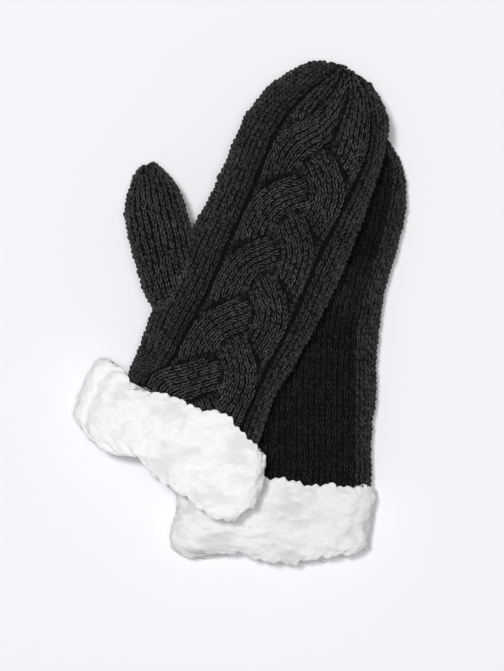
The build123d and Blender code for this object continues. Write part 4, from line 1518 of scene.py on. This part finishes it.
def make_small_parts(mitten):
    """Thread tacks at the hem's ends and the gathering stitch at the tip."""
    name, side = mitten.name, mitten.side
    tips = []
    for edge in (-1, 1):
        for y in (FOLD_Y + 3.4, HEM_TOP - 3.1):
            flat = float(hand_flats(np.array([y]))[0][0])
            x = float(mitten.middle(y)) + edge * (flat + 0.7)
            tips += [(x, y + shift, -HALF_THICKNESS - 0.9)
                     for shift in (-TACK_PITCH, 0.0, TACK_PITCH)]
    place = mitten.lay(*np.array(tips).T)
    across = unit(mitten.lay(*(np.array(tips) + [1, 0, 0]).T) - place)
    points = {"place": place, "along": across,
              "outward": np.tile([0, 0, -1.0 * side], (len(tips), 1)),
              "size": np.tile(TACK_SIZE, (len(tips), 1))}
    piece(name + "_hem_tack_threads", [scatter({"Yarn": THREAD_YARN}, points)], THREAD,
          [name + "_hem_tacks"], mitten.cap)
    centre = float(mitten.middle(HAND_LENGTH))
    y = np.full(GATHER_STITCHES, HAND_LENGTH + 0.1)
    turn = np.arange(GATHER_STITCHES) / GATHER_STITCHES * 2 * math.pi
    x = centre + GATHER_REACH * np.cos(turn)
    place = mitten.lay(x, y, np.sin(turn))
    points = {"place": place, "along": unit(place - mitten.lay(x * 0 + x.mean(), y, 0 * y)),
              "outward": unit(place - mitten.lay(centre, HAND_LENGTH - 3, 0.0)),
              "size": np.tile(GATHER_SIZE, (GATHER_STITCHES, 1))}
    piece(name + "_crown_gather", [scatter({"Yarn": THREAD_YARN}, points)], THREAD,
          [name + "_crown_stitch"], mitten.cap)


def make_mitten(mitten, seed):
    skin = Skin(mitten)
    make_knit(mitten, skin, BackTable(skin))
    make_seams(mitten, skin)
    make_linings(mitten)
    make_thumb(mitten, skin)
    make_fingers(mitten)
    make_cuff(mitten, seed)
    make_small_parts(mitten)


# ------------------------------------------------------------------ room
def make_floor():
    material, n, shader, where = new_material(
        "pale_floor", {"Roughness": 0.9, "Specular IOR Level": 0.1})
    soft = noise(n, where, 3.0, 2.0)
    n.set(shader.inputs["Base Color"], mix_colours(n, soft, (0.874, 0.876, 0.903, 1),
                                                   (0.884, 0.886, 0.913, 1)))
    size, level = 6000.0, -0.05
    corners = np.array([(-size, -size, level), (size, -size, level), (size, size, level),
                        (-size, size, level)])
    floor = make_object("floor", [quad_part(corners, [[0, 1, 2, 3]])], material)


def make_camera():
    data = bpy.data.cameras.new("camera")
    data.sensor_fit = "AUTO"
    data.sensor_width = SENSOR
    data.lens = SENSOR * VIEW_DISTANCE / VIEW_HEIGHT
    data.clip_start, data.clip_end = 0.05, 20.0
    camera = bpy.data.objects.new("camera", data)
    camera.location = (0.0044, -0.0153, VIEW_LEVEL + VIEW_DISTANCE)
    camera.rotation_euler = (0, 0, VIEW_TURN)
    bpy.context.scene.collection.objects.link(camera)
    bpy.context.scene.camera = camera


def make_light(name, place, aim, size, power, colour):
    data = bpy.data.lights.new(name, "AREA")
    data.shape = "SQUARE"
    data.size = size
    data.energy = power
    data.color = colour
    light = bpy.data.objects.new(name, data)
    light.location = place
    light.rotation_euler = (Vector(aim) - Vector(place)).to_track_quat("-Z", "Y").to_euler()
    bpy.context.scene.collection.objects.link(light)


def make_room():
    make_floor()
    make_camera()
    make_light("key", (-0.62, 0.46, 4.2), (0, 0, 0.02), 0.4, 88.0, (1.0, 1.0, 1.0))
    make_light("overhead", (0.0, 0.0, 4.2), (0, 0, 0.02), 1.0, 73.0, (1.0, 1.0, 1.0))
    world = bpy.data.worlds.new("studio")
    world.use_nodes = True
    background = world.node_tree.nodes["Background"]
    background.inputs["Color"].default_value = (0.98, 0.99, 1.0, 1)
    background.inputs["Strength"].default_value = 0.15
    bpy.context.scene.world = world
    bpy.context.scene.view_settings.view_transform = "Standard"


make_mitten(LEFT, 3)
make_mitten(RIGHT, 8)
make_room()
